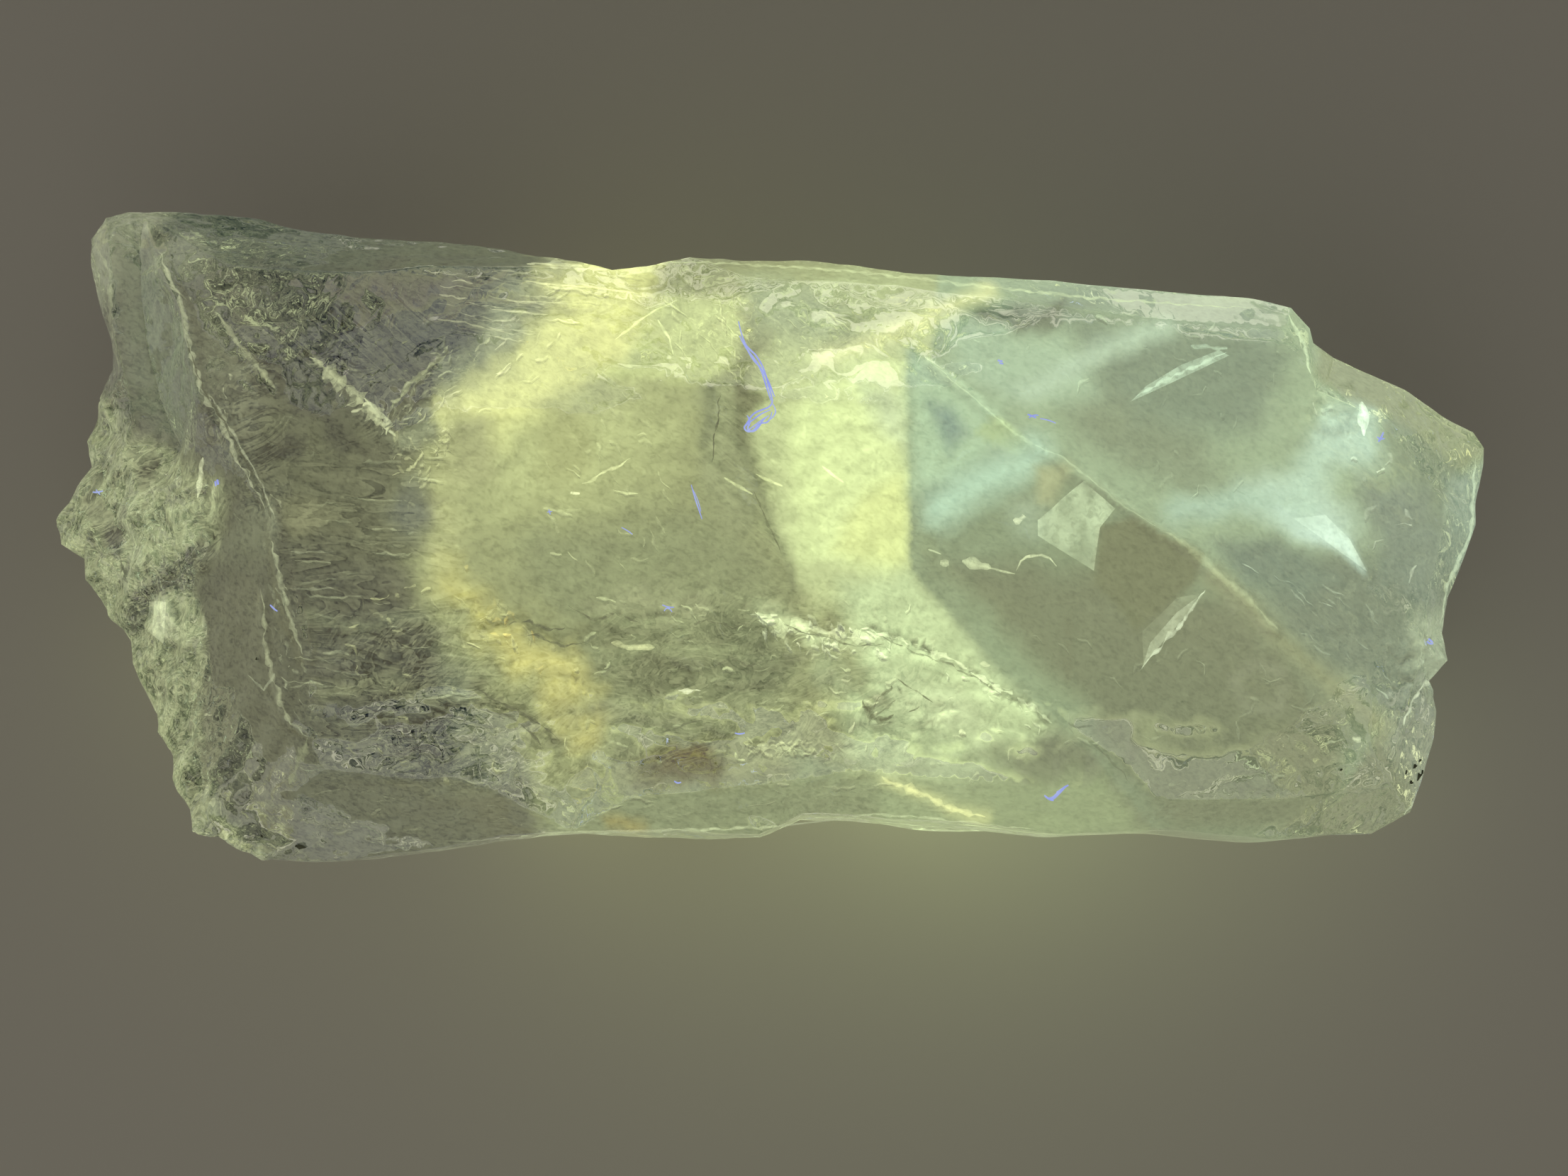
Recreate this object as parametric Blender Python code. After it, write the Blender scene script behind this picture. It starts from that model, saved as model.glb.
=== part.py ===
# A loose fragment of clear quartz, broken at both ends, lying on a prism face.
# +X runs along the crystal to its pointed end, +Y to its straighter long edge, +Z up.
# Lengths are in millimetres until the mesh is made, and places are counted from
# a point near the middle of the face it rests on.
import math
import random

import bmesh
import bpy
from mathutils import Vector, noise
from mathutils.bvhtree import BVHTree
from mathutils.geometry import delaunay_2d_cdt

# Driving dimensions
LENGTH = 38.5
WIDTH = 17.3
THICKNESS = 11.1
MESH_STEP = 0.68          # usual distance between neighbouring points of the surface
SIDE_ROWS = 11            # rows of faces between the girdle and the base
BASE_SHARE = (0.945, 0.90)  # the base before its facets are cut, as a share of the girdle
SHAKE = 0.22              # how far a surface point is moved off its grid, as a share of the step
CLEARANCE = 0.55          # how near one may come to an edge's points, as a share of the step
SAME_PLACE = 1e-4         # points nearer than this are one point
SHARP_ANGLE = math.radians(24.0)
MILLIMETRE = 0.001
SEED = 5

# Relief, as depth from the plain facets and distance between bumps
CRUMBLED_DEPTH = 0.60
CRUMBLED_SPACING = 1.25
LUMPS_MEAN = 0.55         # taken off, so that lumps and hollows balance
ETCHED_DEPTH = 0.15
ETCHED_SPACING = 1.8
ETCHED_STRETCH = 0.6      # the etched relief is longer along the crystal than across it
LEDGE_DEPTH = 0.18
LEDGE_SPACING = 1.4
GLASSY_SHARE = 0.35       # how much of the etched relief the cleaner tip half keeps

# Where each kind of relief starts and where it is full
CRUMBLED_ALONG = (-14.2, -16.2)
CRUMBLED_ACROSS = (5.0, 2.0)
GLASSY_ALONG = (4.0, 10.0)
LEDGES_BELOW = (8.0, 6.0)
BASE_FADE = (0.0, 1.5)

# The girdle is the widest line round the crystal, clockwise from above
BACK_EDGE = (
    (-18.2, 7.9, 7.2), (-17.7, 8.3, 7.8), (-17.1, 8.4, 8.0), (-15.9, 8.4, 8.0), (-13.6, 8.2, 8.0),
    (-11.3, 7.8, 8.0), (-9.0, 7.6, 8.2), (-6.9, 7.2, 8.6), (-5.4, 6.7, 9.4), (-4.1, 6.3, 10.2),
    (-3.1, 6.4, 10.0), (-2.1, 6.7, 9.5), (0.0, 6.7, 9.3), (4.0, 6.4, 9.3), (8.6, 6.1, 9.1),
    (12.5, 5.8, 9.1), (13.6, 5.5, 9.2), (14.1, 5.0, 9.0))
TIP = (
    (14.3, 4.8, 8.2), (14.9, 4.5, 7.8), (16.8, 3.7, 7.4), (17.9, 3.0, 7.0), (18.7, 2.7, 6.6),
    (19.1, 2.4, 6.2), (19.2, 2.0, 5.8), (19.0, 1.0, 5.6), (19.0, 0.4, 5.6), (18.5, -0.7, 5.8),
    (18.1, -1.6, 5.8), (17.9, -2.6, 6.0), (17.9, -3.4, 6.4), (17.6, -3.8, 5.4), (17.8, -4.6, 5.2),
    (17.7, -5.4, 5.4), (17.3, -6.4, 5.8), (16.8, -7.4, 6.2), (15.7, -8.0, 6.6))
FRONT_EDGE = (
    (14.7, -8.1, 7.0), (13.0, -8.3, 7.6), (10.2, -8.1, 8.3), (7.4, -8.3, 8.7), (4.5, -8.0, 9.0),
    (2.3, -7.8, 9.2), (0.8, -7.8, 9.1), (-0.3, -8.3, 9.2), (-5.1, -8.2, 9.0), (-6.5, -8.3, 8.6),
    (-8.8, -8.6, 8.2), (-11.1, -8.9, 7.8), (-12.2, -8.9, 7.6), (-13.2, -8.8, 7.4), (-13.9, -8.5, 7.2))
BROKEN_END = (
    (-15.0, -7.9, 6.8), (-15.7, -6.5, 6.2), (-16.8, -3.9, 5.2), (-17.5, -2.6, 4.6), (-18.4, -1.5, 4.2),
    (-18.8, -0.3, 4.2), (-19.3, 0.7, 4.8), (-18.7, 2.3, 4.4), (-18.5, 3.6, 4.4), (-18.2, 4.4, 4.6),
    (-17.9, 4.7, 5.6), (-17.9, 5.4, 6.0), (-18.2, 7.2, 7.0))
GIRDLE = BACK_EDGE + TIP + FRONT_EDGE + BROKEN_END

# Flat facets of the underside, each through three points. The first two lie on the rest face's edge.
LONG_TIP_FACET = ((3.8, 4.4, 0.0), (14.0, -3.8, 0.0), (18.9, 1.4, 5.3))
BACK_FACET = ((-12.0, 4.0, 0.0), (8.0, 4.4, 0.0), (-14.0, 8.5, 7.4))
FRONT_FACET = ((-11.0, -4.1, 0.0), (12.0, -5.2, 0.0), (-12.0, -8.9, 7.0))
FRONT_TIP_FACET = ((12.2, -5.2, 0.0), (13.6, -3.4, 0.0), (17.2, -6.0, 4.8))
END_FACET = ((-13.2, -1.6, 0.0), (-13.4, 3.0, 0.0), (-18.9, 0.7, 3.9))
END_FRONT_FACET = ((-11.2, -4.3, 0.0), (-13.2, -1.4, 0.0), (-16.0, -6.5, 5.4))
END_BACK_FACET = ((-13.4, 2.4, 0.0), (-12.0, 4.2, 0.0), (-18.0, 7.6, 6.3))
LOWER_FACETS = (
    LONG_TIP_FACET, BACK_FACET, FRONT_FACET, FRONT_TIP_FACET, END_FACET, END_FRONT_FACET, END_BACK_FACET)

# Crisp edges of the upper side
BROKEN_END_RIDGE = (
    (-15.6, 7.5, 9.5), (-15.8, 6.4, 9.9), (-15.2, 5.1, 10.2), (-14.7, 2.7, 10.4), (-13.9, 1.6, 10.4),
    (-12.8, 0.0, 10.5), (-12.1, -2.4, 10.6), (-11.8, -3.7, 10.6), (-11.8, -5.1, 10.4), (-11.7, -6.0, 10.1),
    (-12.1, -7.2, 9.2), (-12.2, -8.9, 7.6))
BACK_BEVEL = (
    (-17.1, 8.4, 8.0), (-15.6, 7.5, 9.5), (-14.0, 6.3, 10.4), (-11.9, 6.0, 10.8), (-8.1, 6.1, 10.9),
    (-5.9, 6.2, 10.7), (-4.1, 6.3, 10.2))
BACK_STRIP = (
    (-2.1, 6.7, 9.5), (-0.5, 6.0, 10.6), (3.9, 5.7, 10.5), (8.4, 5.1, 10.2), (10.7, 4.9, 10.0),
    (13.4, 4.8, 9.7), (13.6, 5.5, 9.2))
FRONT_BEVEL = (
    (-11.7, -6.0, 10.1), (-11.3, -6.8, 10.1), (-9.1, -7.1, 10.6), (-7.9, -7.0, 10.7), (-6.9, -7.4, 10.4),
    (-6.0, -7.8, 9.9), (-5.1, -8.2, 9.0))
FRONT_STRIP = (
    (-5.1, -8.2, 9.0), (-3.4, -7.5, 10.3), (0.0, -7.2, 10.5), (2.0, -6.9, 10.5), (5.0, -7.1, 10.3),
    (10.0, -7.5, 9.6), (13.0, -7.4, 8.9), (16.2, -6.9, 7.5), (16.8, -7.4, 6.2))
LONG_DIAGONAL = (
    (3.6, 4.0, 10.8), (7.6, 1.0, 10.7), (10.8, -1.2, 10.4), (13.0, -3.3, 9.8), (15.4, -5.8, 8.5))
LOW_DIAGONAL = ((3.5, -1.6, 10.9), (6.1, -4.6, 10.7), (8.6, -6.4, 10.3), (10.0, -7.5, 9.6))
TIP_STEP = ((14.1, 5.0, 9.0), (14.0, 3.8, 9.5), (14.1, 3.2, 9.5), (14.8, 2.4, 9.2))
TIP_BEVEL = ((14.1, 3.2, 9.5), (15.4, 2.8, 8.9), (16.4, 2.0, 8.5), (17.3, 1.0, 8.0), (17.8, 0.5, 7.6))
TIP_RIM = ((17.8, 0.5, 7.6), (17.3, -1.6, 7.5), (17.0, -3.2, 7.6), (16.8, -4.2, 7.2), (16.2, -6.9, 7.5))
VALLEY_RIM = (
    (-17.7, 8.3, 7.8), (-17.4, 7.4, 8.6), (-17.5, 6.2, 8.1), (-17.4, 5.1, 7.6), (-17.2, 4.4, 7.1))
VALLEY_FLOOR = (
    (-16.7, 7.4, 8.2), (-16.7, 6.0, 7.7), (-16.5, 4.6, 7.3), (-16.2, 3.2, 7.0), (-15.8, 2.3, 6.8))
PALE_STRIP = (
    (-15.0, -3.4, 7.7), (-14.8, -5.0, 7.6), (-14.4, -6.3, 7.6), (-13.9, -7.4, 7.6), (-13.1, -8.0, 7.7))
TOP_EDGES = (
    BROKEN_END_RIDGE, BACK_BEVEL, BACK_STRIP, FRONT_BEVEL, FRONT_STRIP, LONG_DIAGONAL, LOW_DIAGONAL,
    TIP_STEP, TIP_BEVEL, TIP_RIM, VALLEY_RIM, VALLEY_FLOOR, PALE_STRIP)

# Single high and low points of the upper side
CRUMBLED_LUMPS = (
    (-17.5, 2.4, 5.9), (-16.3, 1.6, 6.5), (-15.2, 1.0, 8.3), (-18.1, 0.6, 5.7), (-17.0, 0.3, 6.7),
    (-15.6, -0.4, 7.9), (-14.2, 0.2, 9.2), (-17.5, -1.1, 5.6), (-16.3, -1.3, 6.9), (-14.9, -1.5, 8.0),
    (-13.8, -1.7, 9.2), (-16.4, -2.9, 6.1), (-13.9, -5.2, 8.4), (-13.2, -6.9, 8.2))
TOP_SWELLS = (
    (-9.0, 2.4, 11.0), (-9.5, -3.0, 10.8), (-5.0, 3.6, 11.0), (-5.5, -1.0, 10.7), (-4.0, -5.0, 10.7),
    (-1.2, 1.5, 10.6), (0.6, -2.6, 10.9), (1.5, 2.8, 11.0), (2.6, -5.2, 10.7), (6.8, -1.6, 10.25),
    (9.6, -3.6, 9.75), (12.4, -5.8, 9.1), (9.0, 3.4, 10.5), (12.2, 1.2, 10.0), (14.8, -0.8, 9.3),
    (15.6, -3.0, 8.8))


def remove_everything():
    for thing in list(bpy.data.objects):
        bpy.data.objects.remove(thing, do_unlink=True)


def divided(line, step):
    # The line's own points, with evenly spaced ones between them. The last point is left out.
    points = []
    for start, end in zip(line, line[1:]):
        start, end = Vector(start), Vector(end)
        parts = max(1, round((end.xy - start.xy).length / step))
        points += [start.lerp(end, part / parts) for part in range(parts)]
    return points


def joined_flat(outline, lines, singles):
    # Triangles over the plan inside the outline, with every line kept as an edge
    points, edges = list(outline), []
    for line in lines:
        first = len(points)
        points += line
        edges += [(number, number + 1) for number in range(first, len(points) - 1)]
    points += singles
    rim = [list(range(len(outline)))]
    result = delaunay_2d_cdt([point.xy for point in points], edges, rim, 1, SAME_PLACE)
    places, triangles, sources = result[0], result[2], result[3]
    return points, places, triangles, sources


def plain_facets(girdle):
    # The upper side drawn only through its named lines and points, to read heights from
    lines = [[Vector(point) for point in line] for line in TOP_EDGES]
    singles = [Vector(point) for point in CRUMBLED_LUMPS + TOP_SWELLS]
    points, places, triangles, sources = joined_flat(girdle, lines, singles)
    corners = [Vector((place.x, place.y, points[source[0]].z)) for place, source in zip(places, sources)]
    return BVHTree.FromPolygons(corners, triangles)


def height_on(facets, spot):
    # Height of the plain facets above a place of the plan, or None outside the girdle
    hit = facets.ray_cast(Vector((spot.x, spot.y, 2.0 * THICKNESS)), Vector((0.0, 0.0, -1.0)))[0]
    return hit.z if hit else None


def fill_points(girdle, facets, lines, chance):
    # Points of a shaken grid over the upper side, kept clear of the girdle and of the crisp edges
    taken = [point.xy for line in lines for point in line] + [point.xy for point in girdle]
    points = []
    rows = int(WIDTH / MESH_STEP) + 2
    columns = int(LENGTH / MESH_STEP) + 2
    for row in range(rows):
        for column in range(columns):
            x = (column + 0.5 * (row % 2) - columns / 2 + chance.uniform(-SHAKE, SHAKE)) * MESH_STEP
            y = (row - rows / 2 + chance.uniform(-SHAKE, SHAKE)) * MESH_STEP
            spot = Vector((x, y))
            if min((spot - other).length for other in taken) < CLEARANCE * MESH_STEP:
                continue
            height = height_on(facets, spot)
            if height is not None:
                points.append(Vector((x, y, height)))
    return points


def uncut_shape():
    # The upper side over the girdle, and nearly upright walls from the girdle down to the base
    chance = random.Random(SEED)
    girdle = divided(GIRDLE + GIRDLE[:1], MESH_STEP)
    facets = plain_facets(girdle)
    lines = [divided(line, MESH_STEP) + [Vector(line[-1])] for line in TOP_EDGES]
    singles = fill_points(girdle, facets, lines, chance)
    points, places, triangles, sources = joined_flat(girdle, lines, singles)

    shape = bmesh.new()
    heights = [points[source[0]].z for source in sources]
    top = [shape.verts.new((place.x, place.y, height)) for place, height in zip(places, heights)]
    for triangle in triangles:
        shape.faces.new([top[number] for number in triangle])

    owner = {source: number for number, found in enumerate(sources) for source in found}
    upper = [top[owner[number]] for number in range(len(girdle))]
    base = [Vector((point.x * BASE_SHARE[0], point.y * BASE_SHARE[1], 0.0)) for point in girdle]
    for row in range(1, SIDE_ROWS + 1):
        lower = [shape.verts.new(start.lerp(end, row / SIDE_ROWS)) for start, end in zip(girdle, base)]
        for number in range(len(girdle)):
            after = (number + 1) % len(girdle)
            shape.faces.new((upper[number], upper[after], lower[after], lower[number]))
        upper = lower
    shape.faces.new(upper)
    bmesh.ops.recalc_face_normals(shape, faces=shape.faces)
    return shape


def cut_facet(shape, corners):
    # Takes away what lies outside the plane through the three points, and closes the cut
    first, second, third = [Vector(corner) for corner in corners]
    outward = (second - first).cross(third - first).normalized()
    if outward.z > 0.0:
        outward.negate()
    everything = list(shape.verts) + list(shape.edges) + list(shape.faces)
    bmesh.ops.bisect_plane(
        shape, geom=everything, dist=SAME_PLACE, plane_co=first, plane_no=outward, clear_outer=True)
    rim = [edge for edge in shape.edges if edge.is_boundary]
    bmesh.ops.holes_fill(shape, edges=rim, sides=0)
    bmesh.ops.recalc_face_normals(shape, faces=shape.faces)


def between(value, limits):
    # 0 at the first limit, 1 at the second, and straight between them
    share = (value - limits[0]) / (limits[1] - limits[0])
    return min(1.0, max(0.0, share))


def relief_at(point):
    # Height of the relief: crumbled at the broken end, etched in the middle, glassy at the tip
    crumbled = between(point.x, CRUMBLED_ALONG) * between(point.y, CRUMBLED_ACROSS)
    lumps = noise.turbulence(point / CRUMBLED_SPACING, 3, True) - LUMPS_MEAN
    glassy = between(point.x, GLASSY_ALONG)
    stretched = Vector((point.x * ETCHED_STRETCH, point.y, point.z)) / ETCHED_SPACING
    etched = noise.fractal(stretched, 1.0, 2.0, 3) * (1.0 - (1.0 - GLASSY_SHARE) * glassy)
    ledge = noise.noise(Vector((point.x * 0.12, 0.0, point.z / LEDGE_SPACING + point.x * 0.05)))
    ledge *= between(point.z, LEDGES_BELOW)
    height = crumbled * CRUMBLED_DEPTH * lumps + ETCHED_DEPTH * etched + LEDGE_DEPTH * ledge
    return height * between(point.z, BASE_FADE)


def roughen(shape):
    shape.normal_update()
    moves = [vert.normal * relief_at(vert.co) for vert in shape.verts]
    for vert, move in zip(shape.verts, moves):
        vert.co += move


def fit_to_size(shape):
    # The box takes the driving dimensions, and its base's centre goes to the origin
    lows = [min(vert.co[axis] for vert in shape.verts) for axis in range(3)]
    highs = [max(vert.co[axis] for vert in shape.verts) for axis in range(3)]
    sizes = (LENGTH, WIDTH, THICKNESS)
    for vert in shape.verts:
        for axis in range(3):
            share = (vert.co[axis] - lows[axis]) / (highs[axis] - lows[axis])
            start = 0.0 if axis == 2 else -0.5
            vert.co[axis] = (share + start) * sizes[axis] * MILLIMETRE


def clear_quartz():
    material = bpy.data.materials.new("clear_quartz")
    material.use_nodes = True
    shader = material.node_tree.nodes["Principled BSDF"]
    shader.inputs["Base Color"].default_value = (0.80, 0.83, 0.58, 1.0)
    shader.inputs["Roughness"].default_value = 0.08
    shader.inputs["Metallic"].default_value = 0.0
    shader.inputs["IOR"].default_value = 1.544
    shader.inputs["Transmission Weight"].default_value = 1.0
    return material


def build_crystal():
    shape = uncut_shape()
    roughen(shape)
    for corners in LOWER_FACETS:
        cut_facet(shape, corners)
    fit_to_size(shape)
    bmesh.ops.triangulate(shape, faces=shape.faces)
    mesh = bpy.data.meshes.new("quartz_crystal")
    shape.to_mesh(mesh)
    shape.free()
    mesh.materials.append(clear_quartz())
    crystal = bpy.data.objects.new("quartz_crystal", mesh)
    bpy.context.scene.collection.objects.link(crystal)
    mesh.shade_smooth()
    mesh.set_sharp_from_angle(angle=SHARP_ANGLE)


remove_everything()
build_crystal()
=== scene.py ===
# A loose piece of clear quartz that glows softly from inside, seen almost from above.
import math
import random

import bmesh
import bpy
import numpy as np
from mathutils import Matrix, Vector, noise


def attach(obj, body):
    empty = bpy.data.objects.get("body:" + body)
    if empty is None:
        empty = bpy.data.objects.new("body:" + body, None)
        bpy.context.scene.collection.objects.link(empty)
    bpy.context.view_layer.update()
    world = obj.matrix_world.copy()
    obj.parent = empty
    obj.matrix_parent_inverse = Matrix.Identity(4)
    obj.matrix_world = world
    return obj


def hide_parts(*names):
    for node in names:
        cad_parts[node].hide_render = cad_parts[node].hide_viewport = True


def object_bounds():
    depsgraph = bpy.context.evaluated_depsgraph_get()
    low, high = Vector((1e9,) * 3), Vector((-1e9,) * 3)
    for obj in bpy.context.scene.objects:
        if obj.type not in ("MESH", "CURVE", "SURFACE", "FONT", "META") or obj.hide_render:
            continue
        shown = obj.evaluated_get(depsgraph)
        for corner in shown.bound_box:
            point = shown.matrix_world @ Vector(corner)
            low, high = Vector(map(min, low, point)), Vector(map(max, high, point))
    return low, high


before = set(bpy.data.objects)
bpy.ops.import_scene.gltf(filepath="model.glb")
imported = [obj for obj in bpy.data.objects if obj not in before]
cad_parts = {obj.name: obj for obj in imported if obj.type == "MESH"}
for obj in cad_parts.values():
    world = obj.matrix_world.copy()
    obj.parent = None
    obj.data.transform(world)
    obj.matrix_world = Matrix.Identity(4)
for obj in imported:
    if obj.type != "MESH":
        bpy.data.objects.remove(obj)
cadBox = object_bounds()
print("frame loaded")

# Without a seed of its own the vector noise would be different in each run
noiseSeed = 5
noise.seed_set(noiseSeed)

# Places are in millimetres, counted from the middle of the crystal's outline as it was drawn.
# That middle lies this far from the frame's origin.
mm = 0.001
drawnShift = Vector((0.11, 0.22, 0.0))

view = {
    "aim": (0.34, -1.55, 7.0),
    "elevation": 80.0,
    "distance": 97.75,
    "lens": 85.0,
    "sensor": 36.0,
    "clipStart": 0.001,
    "markLevel": 10.6,    # marks are placed where the line of sight meets this height
}

stage = {
    "floorColour": (226, 221, 208),
    "floorRoughness": 0.75,
    "floorSize": 900.0,
    "floorGap": 0.04,
    "skyTop": (95, 94, 91),
    "skyEdge": (102, 99, 96),
    "lampColour": (255, 250, 236),
    "lampPower": 0.040,
    "lampSize": 260.0,
    "lampPlace": (-60.0, -140.0, 120.0),
}


def linear(colour):
    # A colour written as 0 to 255, as the shaders want it
    parts = [part / 255.0 for part in colour]
    return tuple(part / 12.92 if part <= 0.04045 else ((part + 0.055) / 1.055) ** 2.4 for part in parts)


def opaque(colour):
    return linear(colour) + (1.0,)


def inFrame(place):
    return (Vector(place) + drawnShift) * mm


sightTilt = math.radians(view["elevation"])
sightBack = Vector((0.0, -math.cos(sightTilt), math.sin(sightTilt)))
eye = Vector(view["aim"]) + sightBack * view["distance"]


def eased(share):
    share = np.clip(share, 0.0, 1.0)
    return share * share * (3.0 - 2.0 * share)


def fromTo(value, start, end):
    # 0 at start, 1 at end, eased between them
    return eased((value - start) / (end - start))


def seenPlaces(points):
    # Where the line of sight to each point meets the level of the marks
    share = (view["markLevel"] - eye.z) / (points[:, 2] - eye.z)
    return np.array(eye)[:2] + (points[:, :2] - np.array(eye)[:2]) * share[:, None]


def lineDistance(spots, line):
    nearest = np.full(len(spots), 1e9)
    for start, end in zip(line, line[1:]):
        along = np.subtract(end, start)
        share = np.clip((spots - start) @ along / (along @ along), 0.0, 1.0)
        gaps = spots - start - share[:, None] * along
        nearest = np.minimum(nearest, np.hypot(gaps[:, 0], gaps[:, 1]))
    return nearest


def insideArea(spots, line):
    inside = np.zeros(len(spots), bool)
    for (startX, startY), (endX, endY) in zip(line, line[1:] + line[:1]):
        if startY == endY:
            continue
        crossed = (startY > spots[:, 1]) != (endY > spots[:, 1])
        edge = startX + (spots[:, 1] - startY) * (endX - startX) / (endY - startY)
        inside ^= crossed & (spots[:, 0] < edge)
    return inside


# Three kinds of painted mark. Each gives back how strongly it covers the spots, from 0 to 1.
def area(soft, wobble, *line):
    def cover(spots, drift):
        moved = spots + drift * wobble
        depth = lineDistance(moved, line + line[:1])
        depth = np.where(insideArea(moved, line), depth, -depth)
        return eased(0.5 + depth / (2.0 * soft))
    return cover


def band(width, soft, wobble, *line):
    def cover(spots, drift):
        return eased(0.5 + (width / 2.0 - lineDistance(spots + drift * wobble, line)) / (2.0 * soft))
    return cover


def spot(soft, wobble, place, size, turn=0.0):
    def cover(spots, drift):
        offset = spots + drift * wobble - place
        angle = math.radians(turn)
        axes = np.array(((math.cos(angle), -math.sin(angle)), (math.sin(angle), math.cos(angle))))
        reach = np.linalg.norm(offset @ axes / size, axis=1)
        return eased(0.5 + (1.0 - reach) / (2.0 * soft))
    return cover


crystalShape = {
    "topEdge": 0.45,       # facets that face up are first divided to this
    "sideEdge": 1.10,      # and the sides and the underside to this
    "facingUp": 0.35,      # how much a facet has to face up to count as one
    "joinWithin": 0.002,
    "rounds": 6,
    "sharpAngle": 20.0,    # edges that turn more than this stay crisp
    "smoothAngle": 40.0,
}

# How far each kind of relief stands out, and how far apart its marks are
crystalRelief = {
    "crumbDepth": 0.13, "crumbSpacing": 0.95,
    "chipDepth": 0.10, "chipSpacing": 0.70, "chipMiddle": 0.4,
    "etchDepth": 0.030, "etchSpacing": 0.50, "etchTipLoss": 0.6,
    "ledgeDepth": 0.035, "ledgeSpacing": 0.42, "ledgeStretch": 0.16,
    "flakeDepth": 0.05, "flakeSpacing": 1.10,
    "rippleDepth": 0.020, "rippleSpacing": 0.85, "rippleCentre": (-17.5, -4.0),
    "scoreWobble": 0.12,
    "fadeHeight": 0.6,     # the relief starts at the floor and is full from this height
    "topRoom": 0.012,      # left free under the highest level for the cracks that lie on the skin
}

crystalGlass = {
    "ior": 1.544,
    "roughness": 0.0,
    "tint": (250, 251, 240),
    "stainTint": (242, 238, 218),
    "absorbColour": (235, 240, 195),
    "absorbDensity": 9.0,
    "firstTone": (140, 146, 116),   # under all the painted marks
    "seenThrough": (89, 88, 71),    # tone of the floor through the clear crystal
    "topShare": 1.0,                # how much of the glow sits on the upper side
    "sideShare": 0.80,              # how much on the sides
    "baseShare": 0.08,              # and how much on the underside
    "frontShare": 1.1,              # more under the front, which lights the floor there
    "backLoss": 0.6,                # less at the back, where the floor stays darker
    # ridges lighter, hollows darker and slopes lit from one fixed side: painted light and shade in the glow
    "ridgeLightAndShadeGain": 2.4,
    "slopeLightAndShadeGain": 1.6,
    "paintedLightFrom": (-0.55, 0.65, 0.2),
    "plainRidges": 0.85,            # how much of the plain facets' own ridges is taken off
    "lightAndShadeRange": (0.15, 2.6),
    "detailTone": (96, 98, 72),     # light that the fine marks add or take away
    "detailTipLoss": 0.45,
    "etchShare": 0.10,
}

# The grains that draw the finest texture of the skin, and how each is stretched and turned
crystalGrains = {
    "etch": {"stretch": (0.7, 1.2, 1.0), "scale": 8.0, "turn": 25.0, "warp": 0.8, "lineWidth": 0.12},
    "ledge": {"stretch": (0.22, 1.0, 1.0), "scale": 1.1, "turn": 3.0, "warp": 0.8, "steps": 9.0},
    "flake": {"stretch": (0.7, 1.3, 1.0), "scale": 0.75, "turn": -25.0, "warp": 2.0, "lineWidth": 0.05,
              "steps": 7.0},
    "stria": {"stretch": (0.10, 1.6, 1.0), "scale": 1.8, "turn": 41.0, "steps": 5.0},
}

# Which side of each grain adds light, in which zone, and how much. Below 0 it takes light away.
crystalDetail = (
    ("etch", "Soft", None, 0.36),
    ("etch", "Lines", None, 0.30),
    ("ledge", "Steps", "ledged", 0.38),
    ("flake", "Steps", "flaky", 0.44),
    ("flake", "Lines", "flaky", -0.70),
    ("flake", "Steps", "crumbled", 0.75),
    ("flake", "Lines", "crumbled", -0.80),
    ("stria", "Steps", "striated", 0.34),
)

# Where each kind of texture lies
crystalZones = {
    "crumbled": (
        area(0.35, 0.3, (-20, 3.2), (-17.6, 3.4), (-16.4, 1.9), (-15.1, 1.3), (-14.0, 0.4), (-13.9, -1.2),
            (-14.7, -2.0), (-14.2, -4.0), (-14.4, -6.1), (-13.8, -8.0), (-12.4, -8.8), (-14, -10),
            (-20, -4)),),
    "ledged": (
        area(0.6, 0.5, (-12.4, 1.2), (-8.6, 1.6), (-7.6, -1.8), (-6.6, -3.6), (-6.0, -6.2), (-11.6, -6.9),
            (-11.9, -4.0), (-12.6, -1.0)),
        area(0.5, 0.4, (-8.2, 6.2), (-2.6, 6.2), (-3.6, 5.0), (-6.2, 4.3), (-8.4, 4.6))),
    "flaky": (
        area(0.6, 0.5, (-11.2, -3.6), (-8.2, -2.4), (-6.6, -3.0), (-4.6, -4.4), (-4.2, -7.4), (-9.5, -7.0)),
        area(0.6, 0.5, (-4.5, -2.6), (0.3, -2.2), (3.5, -3.0), (6.7, -4.8), (7.6, -6.2), (4.4, -6.4),
            (1.0, -6.8), (-4.5, -6.8)),
        area(0.4, 0.4, (-12.2, 4.2), (-9.8, 1.4), (-8.2, 1.0), (-7.6, 3.2), (-8.2, 4.4), (-9.6, 2.8),
            (-11.4, 4.4)),
        area(0.5, 0.4, (-14.6, 2.2), (-13.4, 4.6), (-12.4, 4.2), (-12.8, 2.4), (-12.4, -1.2),
            (-13.2, -0.2)),
        area(0.4, 0.4, (0.9, 5.6), (1.1, 3.9), (2.4, 4.4), (1.8, 5.6)),
        area(0.4, 0.3, (13.6, 2.6), (14.4, 1.6), (15.4, 2.2), (14.6, 3.2)),
        area(0.4, 0.3, (15.6, -3.6), (17.2, -3.0), (17.2, -5.0), (15.8, -5.8))),
    "striated": (
        area(0.5, 0.2, (11.4, -1.4), (12.6, -0.9), (15.9, -3.4), (15.6, -5.4), (13.0, -3.2)),
        area(0.5, 0.3, (13.9, 2.9), (14.2, 1.2), (16.0, -0.6), (17.2, 0.4), (16.0, 2.2)),
        area(0.5, 0.3, (-0.4, 3.2), (0.6, 1.2), (0.2, -2.2), (-0.8, -0.8), (-1.9, 1.0), (-1.6, 3.2)),
        area(0.9, 0.5, (-14.2, 5.4), (-8.6, 5.6), (-8.8, 3.4), (-12.2, 3.0))),
}

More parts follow.
